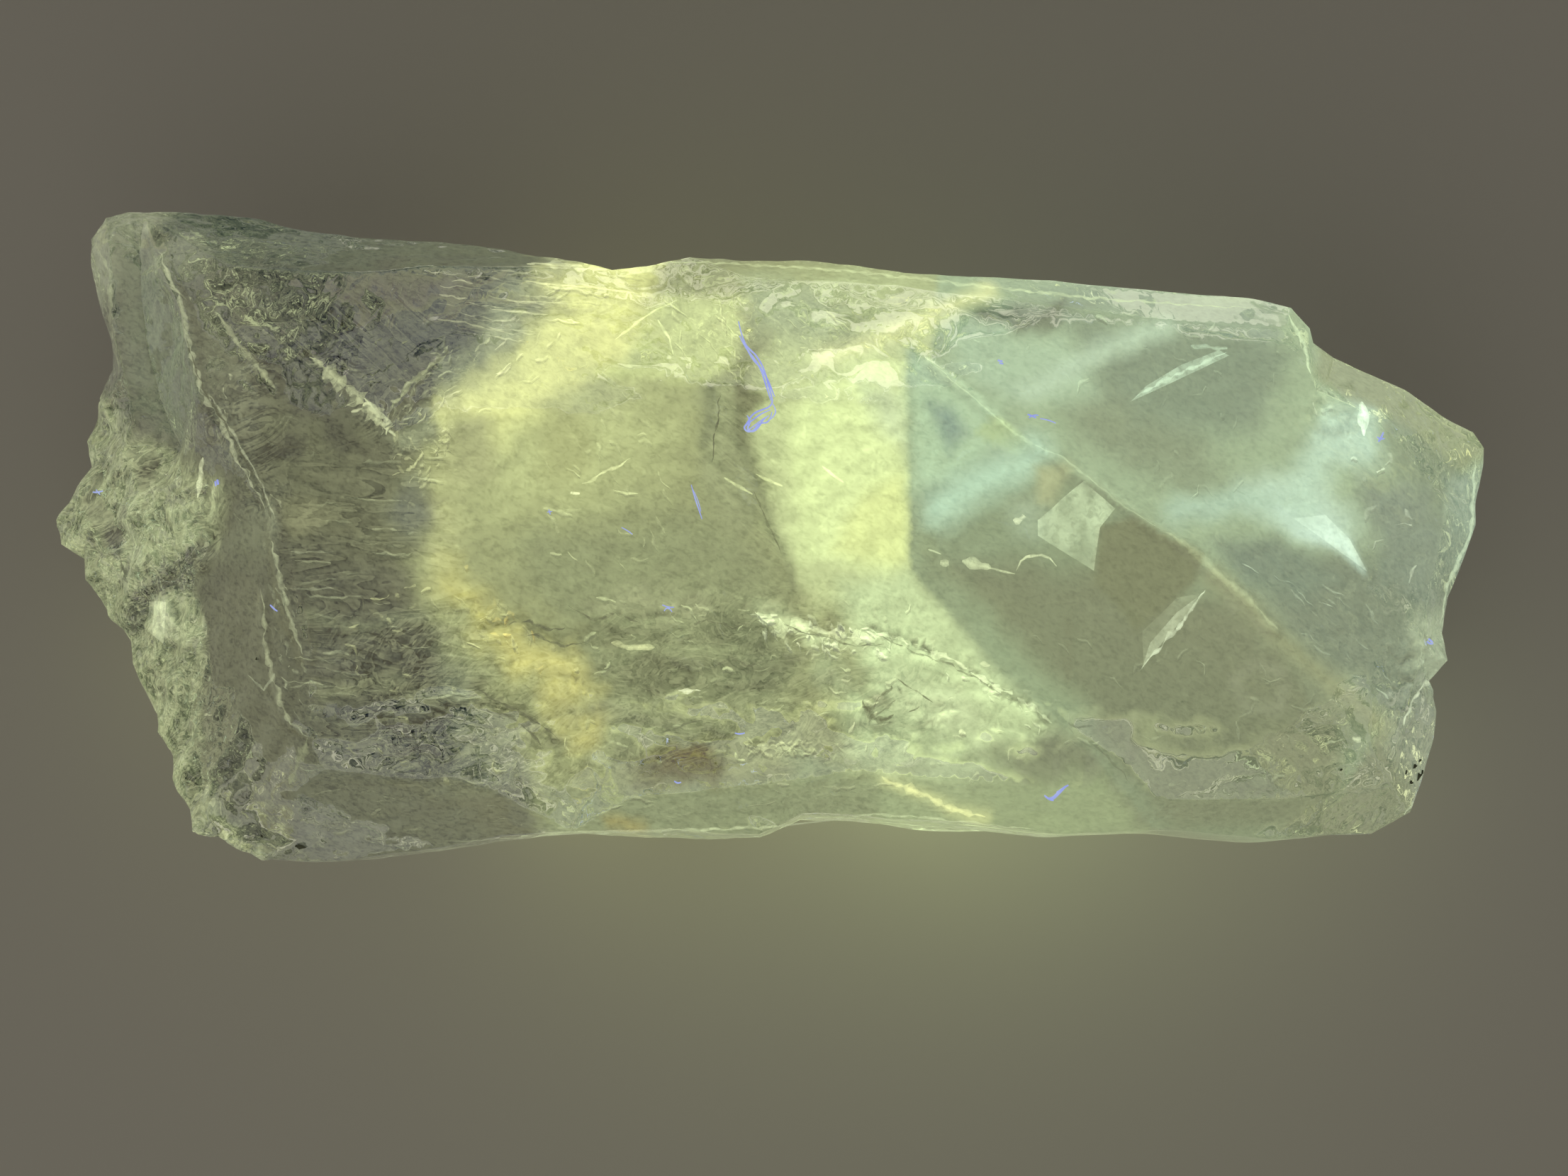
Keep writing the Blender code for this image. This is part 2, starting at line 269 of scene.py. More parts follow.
# The glow of the crystal, painted in this order. Each tone is what is seen from above.
crystalGlow = (
    # the clear end, and the olive bevel behind it
    ((111, 112, 92), area(0.5, 0.2, (-20, -10), (-8.5, -10), (-8.5, 9), (-20, 9))),
    ((117, 119, 94), area(0.7, 0.4, (-14.4, 4.6), (-12.4, 2.4), (-9.9, 2.0), (-9.2, -1.6), (-12.4, -1.0))),
    ((108, 109, 92), area(0.6, 0.3, (-13.2, 6.0), (-6.6, 6.1), (-8.2, 4.2), (-10.4, 3.4), (-12.4, 4.0))),
    ((105, 110, 90), area(0.12, 0.0, (-15.8, 7.2), (-14, 6.25), (-11.9, 6.0), (-8.1, 6.1), (-5.8, 6.3),
        (-6.0, 9), (-16.5, 9.5))),
    # the soft middle, lightest along its left side
    ((160, 166, 121), area(0.6, 0.35, (-3.2, 6.4), (-5.0, 4.9), (-6.4, 3.1), (-8.8, 1.4), (-9.5, 0.4),
        (-9.3, -1.2), (-9.0, -3.0), (-7.6, -4.4), (-6.4, -6.2), (-5.6, -8.7), (4.0, -8.6), (4.0, 6.8))),
    ((187, 195, 139), spot(0.7, 0.3, (-5.2, 1.6), (3.0, 1.9), 20)),
    ((201, 212, 148), area(0.25, 0.1, (-2.6, 5.5), (-0.6, 5.4), (-0.9, 4.0), (-1.4, 3.1), (-2.6, 3.2),
        (-4.6, 3.4), (-3.9, 4.7))),
    ((151, 158, 118), area(0.8, 0.4, (-6.4, -1.0), (-2.4, -0.2), (-0.6, -0.2), (0.6, -3.2), (0.8, -6.0),
        (-2.5, -7.4), (-5.0, -6.0), (-5.6, -3.2))),
    ((178, 184, 130), spot(0.5, 0.3, (-5.3, 1.6), (0.7, 1.0))),
    # yellow and golden edge of the glow
    ((228, 234, 158), band(1.6, 0.65, 0.45, (-3.9, 6.0), (-4.6, 5.1), (-5.5, 3.8), (-6.6, 2.8),
        (-7.6, 2.1))),
    ((182, 187, 134), band(0.9, 0.7, 0.5, (-8.2, 1.5), (-8.8, 0.2), (-8.4, -0.9), (-8.1, -1.9))),
    ((196, 195, 124), band(0.7, 0.6, 0.6, (-8.1, -2.0), (-7.5, -2.7), (-6.9, -3.3), (-6.1, -4.0))),
    ((204, 202, 130), band(0.9, 0.6, 0.6, (-6.1, -4.0), (-5.4, -4.3), (-5.0, -4.9), (-4.8, -5.4))),
    # brightest part, right of the middle
    ((197, 209, 152), area(0.4, 0.4, (1.2, -2.7), (0.0, -0.8), (-0.4, 0.4), (-0.6, 2.6), (0.0, 4.2),
        (0.8, 5.7), (5.4, 5.8), (5.2, 3.2), (3.5, 2.4), (3.5, -1.8), (2.3, -2.5))),
    ((222, 238, 170), area(0.4, 0.3, (0.9, -1.4), (0.5, 0.2), (0.4, 2.2), (1.3, 3.4), (2.3, 4.2),
        (3.5, 3.6), (3.5, -1.75), (2.7, -1.9))),
    ((206, 222, 172), area(0.4, 0.2, (2.2, 3.3), (3.5, 2.9), (3.5, 1.5), (2.7, 2.1))),
    ((222, 234, 160), area(0.3, 0.1, (2.4, 0.3), (3.5, 0.8), (3.5, -1.6), (1.6, -1.3), (1.9, -0.4))),
    ((200, 217, 163), area(0.40, 0.2, (1.7, -2.2), (3.5, -1.7), (4.3, -2.4), (5.0, -3.2), (5.8, -4.1),
        (6.6, -4.9), (7.3, -5.7), (6.3, -6.2), (5.0, -6.0), (2.6, -5.0))),
    ((184, 199, 150), area(0.6, 0.4, (1.6, -4.6), (4.8, -5.2), (6.2, -6.9), (4.6, -7.3), (2.2, -6.6))),
    ((160, 172, 130), area(0.5, 0.4, (0.4, -6.3), (2.2, -6.8), (5.2, -7.2), (8.4, -6.8), (9.6, -8.7),
        (0.4, -8.7))),
    ((146, 154, 118), area(0.4, 0.3, (-5.6, -7.3), (2.4, -7.0), (2.8, -9.2), (-5.6, -9.2))),
    ((176, 188, 143), area(0.5, 0.3, (-0.8, 5.9), (5.2, 5.9), (3.2, 4.9), (1.3, 4.2), (-0.3, 4.4))),
    ((180, 192, 142), area(0.5, 0.3, (0.9, 6.2), (1.5, 5.3), (2.3, 4.5), (3.6, 5.2), (5.4, 6.0))),
    # the facets towards the tip
    ((150, 163, 128), area(0.10, 0.03, (3.52, 4.2), (5.1, 2.8), (8.2, 0.6), (10.0, -0.7), (11.5, -1.95),
        (12.8, -3.25), (15.4, -5.9), (13.4, -8.9), (9.6, -8.3), (7.9, -6.2), (5.7, -4.1), (3.52, -1.7))),
    ((139, 145, 114), area(0.6, 0.3, (4.2, -1.6), (8.2, -1.6), (12.0, -2.7), (14.6, -5.4), (14.2, -8.7),
        (10.0, -8.4), (8.0, -6.1))),
    ((168, 186, 148), area(0.12, 0.04, (4.4, 7.0), (4.1, 3.7), (5.2, 2.8), (8.2, 0.6), (10.0, -0.7),
        (11.5, -1.95), (12.8, -3.25), (15.4, -5.9), (18.8, -5.4), (19.4, 3.2), (14.4, 5.9))),
    ((140, 150, 124), area(0.7, 0.3, (12.0, -2.4), (14.0, -1.2), (16.4, -1.2), (18.6, -0.2), (19.0, -4.0),
        (16.6, -7.0), (15.2, -5.6))),
    ((150, 162, 130), spot(0.6, 0.3, (9.4, 1.9), (2.6, 0.9), -35)),
    ((146, 158, 128), spot(0.7, 0.3, (17.0, 1.0), (1.1, 2.2), 20)),
    ((148, 160, 132), area(0.3, 0.1, (5.4, 5.0), (6.8, 4.6), (8.6, 5.2), (6.4, 5.3))),
    ((144, 158, 130), area(0.6, 0.25, (7.6, 4.9), (12.8, 4.6), (13.5, 3.9), (12.4, 1.9), (10.6, 1.8),
        (8.4, 2.9))),
    ((178, 200, 164), area(0.5, 0.2, (4.6, 4.6), (7.6, 4.4), (8.4, 2.8), (6.0, 2.6), (4.9, 3.4))),
    ((152, 158, 126), band(0.2, 0.22, 0.1, (12.9, -4.4), (12.3, -4.15), (11.8, -4.6), (12.1, -5.3),
        (12.8, -5.3), (13.0, -4.7))),
    ((168, 184, 150), area(0.4, 0.2, (6.0, -0.1), (6.9, 0.2), (6.9, -0.9), (6.2, -0.9))),
    ((156, 171, 134), area(0.5, 0.2, (4.6, -2.2), (6.0, -3.4), (8.2, -5.4), (7.6, -5.9), (5.6, -4.2))),
    # bluish and white light in the tip half
    ((182, 206, 166), area(0.35, 0.1, (3.55, 4.0), (4.6, 3.3), (5.8, 2.5), (6.2, 1.8), (4.8, 0.7),
        (3.55, 0.2))),
    ((146, 166, 144), area(0.25, 0.1, (4.0, 2.7), (4.7, 2.5), (5.0, 1.9), (4.6, 1.3), (4.3, 2.0))),
    ((180, 200, 150), area(0.06, 0.0, (5.2, 1.9), (5.8, 2.35), (6.8, 1.45), (6.3, 1.2))),
    ((188, 217, 184), band(0.9, 0.5, 0.15, (4.3, -0.1), (5.1, 0.4), (5.8, 0.8), (6.7, 1.3))),
    ((176, 184, 140), area(0.20, 0.0, (6.8, 1.0), (7.7, 1.0), (7.2, 0.0), (6.8, 0.0))),
    ((192, 214, 180), band(0.5, 0.35, 0.15, (6.6, 2.95), (7.6, 3.5), (9.05, 4.3), (10.2, 4.65))),
    ((158, 174, 144), area(0.3, 0.2, (7.0, 5.6), (9.6, 4.9), (12.8, 4.2), (13.2, 5.2), (8.2, 5.7))),
    ((206, 232, 204), spot(0.8, 0.25, (13.5, -0.1), (1.2, 0.65), -20)),
    ((184, 210, 180), band(0.6, 0.5, 0.2, (10.5, -0.2), (12.0, 0.1), (13.6, 0.0))),
    ((140, 153, 128), area(0.35, 0.15, (11.2, -1.0), (12.8, -0.9), (13.7, -1.3), (14.4, -2.0), (13.4, -2.6),
        (12.0, -2.0))),
    ((206, 232, 206), area(0.16, 0.05, (12.9, -0.1), (14.1, -0.3), (14.7, -0.9), (15.1, -1.8), (14.3, -1.1),
        (13.4, -0.8))),
    ((194, 220, 190), band(0.8, 0.6, 0.25, (13.4, 0.0), (13.9, 0.9), (14.5, 1.7), (15.1, 2.4))),
    ((196, 222, 192), spot(0.6, 0.3, (14.9, 1.6), (0.6, 0.8), 40)),
    ((150, 158, 132), area(0.4, 0.2, (15.6, -5.6), (17.4, -5.2), (17.4, -7.0), (16.2, -7.6))),
    ((142, 146, 118), area(0.3, 0.1, (-20, 1.0), (-15.9, 7.3), (-15.0, 8.0), (-16.0, 9.0), (-20, 9))),
    ((230, 235, 156), area(0.7, 0.6, (-5.8, 5.8), (-5.3, 4.3), (-4.4, 3.8), (-3.3, 4.4), (-3.0, 6.2),
        (-5.4, 6.2))),
    ((104, 106, 91), area(0.4, 0.3, (-10.0, 6.1), (-7.3, 6.1), (-7.6, 5.0), (-7.9, 4.3), (-8.4, 3.9),
        (-9.4, 4.2))),
    ((176, 181, 132), spot(0.6, 0.4, (-7.7, 1.3), (0.8, 0.8))),
    ((170, 178, 138), spot(0.6, 0.4, (-6.8, 4.4), (0.45, 0.5), 40)),
    # the broken end
    ((117, 122, 98), area(0.35, 0.1, (-17.0, 7.0), (-15.7, 6.3), (-15.1, 4.6), (-14.6, 2.8), (-15.2, 1.6),
        (-16.3, 2.4), (-16.7, 4.6))),
    ((146, 151, 116), crystalZones["crumbled"][0]),
    ((158, 165, 126), area(0.3, 0.3, (-16.4, 0.6), (-15.4, -0.1), (-14.1, 0.0), (-14.1, -1.0),
        (-15.1, -1.7), (-16.0, -1.6))),
    ((184, 192, 150), spot(0.5, 0.2, (-15.5, -2.9), (0.3, 0.45))),
    ((164, 171, 131), spot(0.5, 0.3, (-14.8, -3.1), (0.35, 0.8), 25)),
    # a painted highlight along the lower rim of the broken end
    ((150, 156, 118), band(0.6, 0.35, 0.3, (-16.2, -4.4), (-15.8, -5.4), (-15.0, -6.8))),
    ((126, 129, 104), spot(0.6, 0.3, (-13.1, -0.6), (0.5, 1.0), -15)),
    ((120, 122, 98), area(0.12, 0.05, (-16.3, -2.4), (-15.9, -2.0), (-14.5, -0.9), (-13.9, -1.4),
        (-14.6, -2.2), (-15.7, -2.4), (-16.0, -3.3), (-16.3, -3.2))),
    ((112, 113, 94), spot(0.5, 0.1, (-16.7, -0.95), (0.25, 0.35))),
    ((118, 119, 97), area(0.2, 0.1, (-14.4, -2.6), (-13.4, -1.8), (-12.8, -2.2), (-12.4, -4.6),
        (-12.0, -6.4), (-12.1, -8.7), (-13.3, -8.2), (-13.8, -7.9), (-14.3, -6.1), (-14.3, -4.4))),
    ((122, 124, 100), area(0.25, 0.1, (-15.2, 5.3), (-14.4, 4.9), (-12.9, 2.6), (-13.4, 1.4),
        (-14.6, 3.1))),
    ((112, 114, 92), area(0.08, 0.05, (-14.6, 2.9), (-14.2, 2.6), (-13.5, 1.5), (-12.85, 0.05),
        (-13.1, 0.05), (-13.8, 0.7), (-14.1, 1.6))),
    ((110, 112, 92), area(0.5, 0.4, (-11.5, -5.1), (-8.4, -5.2), (-6.6, -6.6), (-8.0, -7.3),
        (-11.4, -7.2))),
    ((99, 100, 84), area(0.5, 0.3, (-13.4, 6.1), (-8.6, 6.1), (-9.4, 4.6), (-12.0, 4.4))),
    ((138, 140, 108), spot(0.6, 0.3, (-11.8, -0.3), (0.7, 0.5))),
    ((146, 152, 120), spot(0.6, 0.4, (-9.2, 2.1), (0.6, 0.45), 30)),
    ((132, 136, 110), spot(0.6, 0.3, (-15.3, 6.5), (0.8, 0.5))),
    ((120, 124, 106), spot(0.6, 0.3, (-9.2, -0.2), (0.5, 0.9))),
    ((98, 98, 82), band(0.3, 0.35, 0.4, (-12.2, 2.6), (-11.0, 1.8), (-10.2, 1.2))),
    ((98, 98, 82), spot(0.5, 0.4, (-12.6, 1.4), (0.5, 0.35), 20)),
    ((114, 116, 95), band(0.35, 0.4, 0.4, (-11.6, -3.9), (-10.2, -4.1), (-9.0, -3.9))),
    ((128, 132, 104), band(0.3, 0.3, 0.3, (-11.9, -3.0), (-10.4, -3.2), (-8.9, -3.0))),
    ((132, 136, 106), band(0.3, 0.3, 0.3, (-11.4, -4.7), (-9.8, -4.6), (-8.6, -5.0))),
    ((100, 101, 84), band(0.3, 0.4, 0.4, (-11.2, -5.5), (-9.0, -5.6), (-7.6, -5.3))),
    ((138, 143, 112), spot(0.6, 0.5, (-7.2, -6.1), (0.9, 0.6))),
    ((118, 120, 92), band(0.25, 0.25, 0.5, (-7.4, -4.85), (-6.4, -5.35), (-5.35, -6.1))),
    ((118, 122, 92), band(0.2, 0.25, 0.5, (-7.2, -3.2), (-6.4, -3.1), (-5.6, -3.3))),
    ((126, 130, 98), band(0.25, 0.3, 0.5, (-5.4, -3.4), (-4.2, -3.3), (-3.2, -3.5))),
    ((138, 143, 108), spot(0.6, 0.5, (-3.0, -4.4), (1.5, 0.45), -8)),
    ((132, 138, 104), spot(0.6, 0.5, (-0.7, -3.4), (0.9, 0.4), -10)),
    ((134, 140, 106), spot(0.6, 0.5, (-0.4, -4.3), (0.8, 0.5), 10)),
    ((152, 158, 118), band(0.3, 0.35, 0.4, (-5.0, -5.3), (-3.2, -5.2), (-1.6, -5.5))),
    ((166, 172, 130), band(0.3, 0.35, 0.4, (-4.6, -2.7), (-3.2, -2.5), (-1.8, -2.8))),
    ((204, 219, 167), spot(0.6, 0.4, (4.4, -5.3), (1.3, 0.5), -25)),
    ((166, 176, 132), spot(0.6, 0.4, (1.5, -4.4), (0.5, 0.5), 30)),
    ((116, 118, 97), area(0.4, 0.2, (-12.0, -7.2), (-7.4, -7.3), (-6.2, -7.0), (-5.6, -9.0),
        (-12.0, -9.0))),
    # darker creases of the middle
    ((158, 165, 123), area(0.25, 0.2, (-1.9, 3.1), (-0.6, 3.2), (-0.4, 1.4), (-0.5, -0.6), (-1.3, -0.6),
        (-1.8, 1.0))),
    ((134, 140, 107), band(0.16, 0.16, 0.1, (-1.52, 3.15), (-1.56, 2.4), (-1.6, 1.9), (-1.75, 1.5))),
    ((130, 133, 101), area(0.10, 0.08, (-0.95, 3.15), (0.0, 2.75), (-0.65, 2.35), (-0.6, 1.5),
        (-0.85, 1.4))),
    ((134, 140, 106), band(0.12, 0.2, 0.12, (-0.85, 2.4), (-0.78, 1.5), (-0.55, 0.9), (-0.35, 0.4),
        (-0.05, -0.6), (0.43, -1.4), (0.6, -2.2))),
    ((228, 236, 172), band(0.35, 0.3, 0.1, (1.4, 3.85), (2.6, 4.3), (3.8, 4.8), (5.6, 5.6))),
    ((136, 140, 110), band(0.10, 0.12, 0.02, (7.54, -3.0), (7.5, -4.5))),
    ((136, 141, 108), area(0.14, 0.05, (8.35, -0.6), (9.3, -0.3), (11.1, -1.35), (10.8, -2.0), (9.3, -3.3),
        (8.2, -2.0))),
    ((158, 174, 148), area(0.3, 0.1, (17.3, 0.6), (18.2, 1.0), (18.3, -0.8), (17.5, -2.2), (17.2, -1.0))),
    ((144, 156, 132), area(0.5, 0.4, (15.2, -0.6), (15.6, -1.9), (16.6, -2.6), (17.6, -1.0), (16.6, 0.2),
        (15.2, 0.6))),
    ((156, 162, 124), band(0.5, 0.35, 0.1, (11.3, -1.9), (12.8, -3.4), (14.1, -4.5), (15.3, -5.7))),
    ((160, 170, 132), area(0.2, 0.1, (14.0, 4.2), (14.0, 3.3), (16.2, 2.1), (17.7, 0.9), (18.6, 1.4),
        (16.6, 3.6))),
    ((164, 176, 144), area(0.3, 0.2, (16.1, -2.7), (17.3, -2.9), (17.3, -4.6), (16.3, -4.6))),
    ((124, 130, 106), band(0.25, 0.3, 0.3, (5.3, 5.0), (6.4, 4.7), (7.4, 5.0))),
    # flakes along the line of cracks and the front edge
    ((204, 218, 164), band(0.25, 0.25, 0.3, (-0.3, -2.8), (0.2, -3.0), (0.7, -3.1), (1.1, -3.6),
        (2.2, -3.5))),
    ((152, 160, 122), spot(0.5, 0.3, (2.75, -5.1), (0.35, 0.25), 40)),
    # a painted highlight along the front edge
    ((204, 212, 152), band(0.25, 0.25, 0.2, (2.8, -7.0), (3.7, -7.4), (4.6, -7.8), (5.4, -8.05))),
    ((168, 160, 104), band(0.2, 0.3, 0.2, (-4.1, -8.0), (-3.3, -8.3))),
    # brown stain near the front
    ((118, 115, 80), spot(0.6, 0.4, (-2.1, -6.8), (1.1, 0.55), 5)),
    ((116, 109, 68), spot(0.7, 0.3, (-2.1, -6.42), (0.5, 0.16), 5)),
)
crystalStain = spot(0.6, 0.35, (-2.1, -6.55), (0.85, 0.42), 5)

# Lines scored into the surface: how deep (below 0 stands up), how wide, and where
crystalScores = (
    (-0.10, 0.16, ((-15.96, 7.25), (-15.6, 6.1), (-15.2, 5.3), (-14.85, 3.8), (-14.6, 2.9), (-14.0, 2.1),
        (-13.7, 1.2), (-13.2, 0.5), (-12.7, -0.3), (-12.55, -1.65), (-12.1, -3.1), (-11.8, -3.9))),
    (0.08, 0.14, ((-14.3, 2.5), (-13.9, 1.6), (-13.3, 0.5), (-12.95, -0.1))),
    (-0.07, 0.10, ((-14.2, 4.95), (-13.6, 4.1), (-13.2, 3.55), (-12.7, 3.0))),
    (0.07, 0.12, ((-11.85, 3.9), (-11.4, 3.45), (-10.8, 3.0), (-10.2, 2.4), (-9.7, 1.9))),
    (0.05, 0.10, ((-9.8, 2.3), (-9.3, 3.1), (-8.6, 3.7), (-8.3, 4.0))),
    (-0.07, 0.10, ((-12.9, -2.2), (-12.8, -3.8), (-12.5, -4.7), (-12.1, -5.7), (-11.6, -6.0))),
    (0.06, 0.10, ((2.5, -3.2), (3.5, -3.65), (4.3, -3.95), (5.0, -4.25), (5.7, -4.75), (6.5, -5.15),
        (7.1, -5.65))),
    (-0.05, 0.12, ((4.1, 3.7), (5.2, 2.8), (6.8, 1.5), (8.2, 0.6), (10.0, -0.7), (11.5, -1.95),
        (12.8, -3.25))),
)


def noiseAt(points, spacing, offset, detail):
    # Noise between about -1 and 1 at each point, its largest bumps the given distance apart
    shift = Vector((offset, offset * 0.7, -offset))
    return np.array([noise.fractal(Vector(point) / spacing + shift, 1.0, 2.0, detail) for point in points])


def makeObject(name, mesh, material=None):
    made = bpy.data.objects.new(name, mesh)
    bpy.context.scene.collection.objects.link(made)
    if material:
        mesh.materials.append(material)
    return made


def readMesh(mesh):
    # Points, in drawn millimetres, and their normals
    points = np.empty(len(mesh.vertices) * 3)
    mesh.vertices.foreach_get("co", points)
    normals = np.empty(len(mesh.vertices) * 3)
    mesh.vertex_normals.foreach_get("vector", normals)
    return points.reshape(-1, 3) / mm - np.array(drawnShift), normals.reshape(-1, 3)


def addVectors(mesh, name, vectors):
    mesh.attributes.new(name, "FLOAT_VECTOR", "POINT").data.foreach_set("vector", np.ravel(vectors))


def makeCrystalMesh():
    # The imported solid's own shape, with its points joined and its long edges divided
    shape = bmesh.new()
    shape.from_mesh(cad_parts["quartz_crystal"].data)
    bmesh.ops.remove_doubles(shape, verts=shape.verts, dist=crystalShape["joinWithin"] * mm)
    for step in range(crystalShape["rounds"]):
        longEdges = []
        for edge in shape.edges:
            up = max((face.normal.z for face in edge.link_faces), default=0.0)
            longest = crystalShape["topEdge"] if up > crystalShape["facingUp"] else crystalShape["sideEdge"]
            if edge.calc_length() > longest * mm:
                longEdges.append(edge)
        if not longEdges:
            break
        bmesh.ops.subdivide_edges(shape, edges=longEdges, cuts=1)
        bmesh.ops.triangulate(shape, faces=shape.faces)
    crease = shape.edges.layers.float.new("crease_edge")
    for edge in shape.edges:
        if edge.calc_face_angle(0.0) > math.radians(crystalShape["sharpAngle"]):
            edge[crease] = 1.0
    mesh = bpy.data.meshes.new("crystalBase")
    shape.to_mesh(mesh)
    shape.free()
    base = makeObject("crystalBase", mesh)
    smooth = base.modifiers.new("smooth", "SUBSURF")
    smooth.levels = 1
    smooth.render_levels = 1
    graph = bpy.context.evaluated_depsgraph_get()
    fine = bpy.data.meshes.new_from_object(base.evaluated_get(graph))
    bpy.data.objects.remove(base)
    fine.name = "crystal"
    fine.materials.clear()
    return fine


def zoneCover(spots, drift, name):
    return np.max([cover(spots, drift) for cover in crystalZones[name]], axis=0)


def driftAt(points):
    # Irregular shift that keeps painted edges from looking drawn
    coarse = np.array([noise.noise_vector(Vector(point) / 1.3) for point in points])
    finer = np.array([noise.noise_vector(Vector(point) / 0.45 + Vector((9, 2, 4))) for point in points])
    return (coarse + 0.55 * finer)[:, :2]


def carveCrystal(mesh):
    # Fine relief of the surface, different at the broken end, in the middle and towards the tip
    points, normals = readMesh(mesh)
    x, y, z = points.T
    spots = seenPlaces(points)
    drift = driftAt(points)
    upper = fromTo(normals[:, 2], 0.05, 0.4)
    crumbled = zoneCover(spots, drift, "crumbled") * fromTo(normals[:, 2], -0.1, 0.5)
    ledged = zoneCover(spots, drift, "ledged") * upper
    flaky = zoneCover(spots, drift, "flaky") * upper
    striated = zoneCover(spots, drift, "striated") * upper

    relief = crystalRelief
    lumps = noiseAt(points, relief["crumbSpacing"], 3.1, 3)
    chips = np.array([noise.voronoi(Vector(point) / relief["chipSpacing"])[0][0] for point in points])
    etched = noiseAt(points * (0.7, 1.0, 1.0), relief["etchSpacing"], 8.0, 4)
    flakes = noiseAt(points * (0.6, 1.3, 1.0) + (0, 0, 5), relief["flakeSpacing"], 1.7, 3)
    ledges = noiseAt(points * (relief["ledgeStretch"], 1.0, 1.0), relief["ledgeSpacing"], 5.2, 2)
    height = crumbled * (relief["crumbDepth"] * lumps + relief["chipDepth"] * (chips - relief["chipMiddle"]))
    height += relief["etchDepth"] * etched * (1.0 - relief["etchTipLoss"] * fromTo(x, 3.0, 6.0))
    height += relief["flakeDepth"] * np.abs(flakes) * 2.0 * flaky
    height += relief["ledgeDepth"] * ledges * ledged
    reach = np.hypot(*(spots - relief["rippleCentre"]).T)
    rippled = fromTo(x, -11.8, -12.4) * fromTo(y, -2.4, -3.4) * (1.0 - crumbled) * upper
    height += relief["rippleDepth"] * rippled * np.sin(reach * 2.0 * math.pi / relief["rippleSpacing"])
    for depth, width, line in crystalScores:
        away = lineDistance(spots + relief["scoreWobble"] * drift, line) / width
        height -= depth * np.exp(-away * away) * upper
    height *= fromTo(z, 0.0, relief["fadeHeight"])
    carved = points + normals * height[:, None]
    lowest, highest = (np.array(corner) / mm - np.array(drawnShift) for corner in cadBox)
    highest[2] -= relief["topRoom"]
    carved = np.clip(carved, lowest, highest)
    mesh.vertices.foreach_set("co", ((carved + np.array(drawnShift)) * mm).ravel())
    mesh.update()
    addVectors(mesh, "zones", np.stack((ledged, flaky, crumbled), axis=1))
    return striated


def ridgeValues(mesh):
    # Above 0 on ridges and below 0 in hollows
    points, normals = readMesh(mesh)
    pairs = np.empty(len(mesh.edges) * 2, np.int64)
    mesh.edges.foreach_get("vertices", pairs)
    first, second = pairs.reshape(-1, 2).T
    along = points[second] - points[first]
    along /= np.linalg.norm(along, axis=1)[:, None] + 1e-9
    total = np.zeros(len(points))
    count = np.zeros(len(points))
    for here, sign in ((first, -1.0), (second, 1.0)):
        np.add.at(total, here, np.einsum("ij,ij->i", normals[here], along * sign))
        np.add.at(count, here, 1.0)
    return total / np.maximum(count, 1.0)


def paintCrystal(mesh, plainNormals, plainRidges, striated):
    points, normals = readMesh(mesh)
    spots = seenPlaces(points)
    drift = driftAt(points)
    tone = np.tile(linear(crystalGlass["firstTone"]), (len(points), 1))
    for colour, cover in crystalGlow:
        mask = cover(spots, drift)[:, None]
        tone = tone * (1.0 - mask) + np.array(linear(colour)) * mask
    glow = np.maximum(tone - np.array(linear(crystalGlass["seenThrough"])), 0.0)
    sides = fromTo(plainNormals[:, 2], -0.7, -0.1)
    top = fromTo(plainNormals[:, 2], 0.05, 0.5)
    share = crystalGlass["baseShare"] + (crystalGlass["sideShare"] - crystalGlass["baseShare"]) * sides
    share += (crystalGlass["topShare"] - share) * top
    below = fromTo(plainNormals[:, 2], -0.05, -0.4) * fromTo(plainNormals[:, 1], -0.1, -0.5)
    share += crystalGlass["frontShare"] * below
    behind = fromTo(plainNormals[:, 2], 0.15, -0.1) * fromTo(plainNormals[:, 1], 0.2, 0.6)
    share *= 1.0 - crystalGlass["backLoss"] * behind
    # Painted light and shade multiplied into the glow: lighter on ridges and on slopes facing one fixed side,
    # darker in hollows and on slopes facing away
    paintedLightFrom = np.array(Vector(crystalGlass["paintedLightFrom"]).normalized())
    slopeLightAndShade = (normals - plainNormals) @ paintedLightFrom
    ridges = ridgeValues(mesh) - crystalGlass["plainRidges"] * plainRidges
    relief = 1.0 + crystalGlass["ridgeLightAndShadeGain"] * ridges + crystalGlass["slopeLightAndShadeGain"] * slopeLightAndShade
    relief = np.clip(relief, *crystalGlass["lightAndShadeRange"])
    addVectors(mesh, "glow", glow * (share * relief)[:, None])
    stain = crystalStain(spots, drift) * fromTo(normals[:, 2], 0.0, 0.4)
    detail = share * (1.0 - crystalGlass["detailTipLoss"] * fromTo(points[:, 0], 3.0, 5.5))
    addVectors(mesh, "marks", np.stack((striated, stain, detail), axis=1))


def addNode(tree, kind, values=None, **settings):
    node = tree.nodes.new(kind)
    for name, setting in settings.items():
        setattr(node, name, setting)
    for name, value in (values or {}).items():
        socket = node.inputs[name]
        if isinstance(value, bpy.types.NodeSocket):
            tree.links.new(value, socket)
        else:
            socket.default_value = value
    return node


def addSum(tree, *values, operation="ADD"):
    # Adds or multiplies several values in a chain of Math nodes
    total = values[0]
    for value in values[1:]:
        total = addNode(tree, "ShaderNodeMath", {0: total, 1: value}, operation=operation).outputs[0]
    return total


def addScaled(tree, vector, factor):
    return addNode(tree, "ShaderNodeVectorMath", {0: vector, "Scale": factor}, operation="SCALE").outputs[0]


def addPosition(tree):
    # Each point's own place, in millimetres
    return addScaled(tree, addNode(tree, "ShaderNodeTexCoord").outputs["Object"], 1.0 / mm)


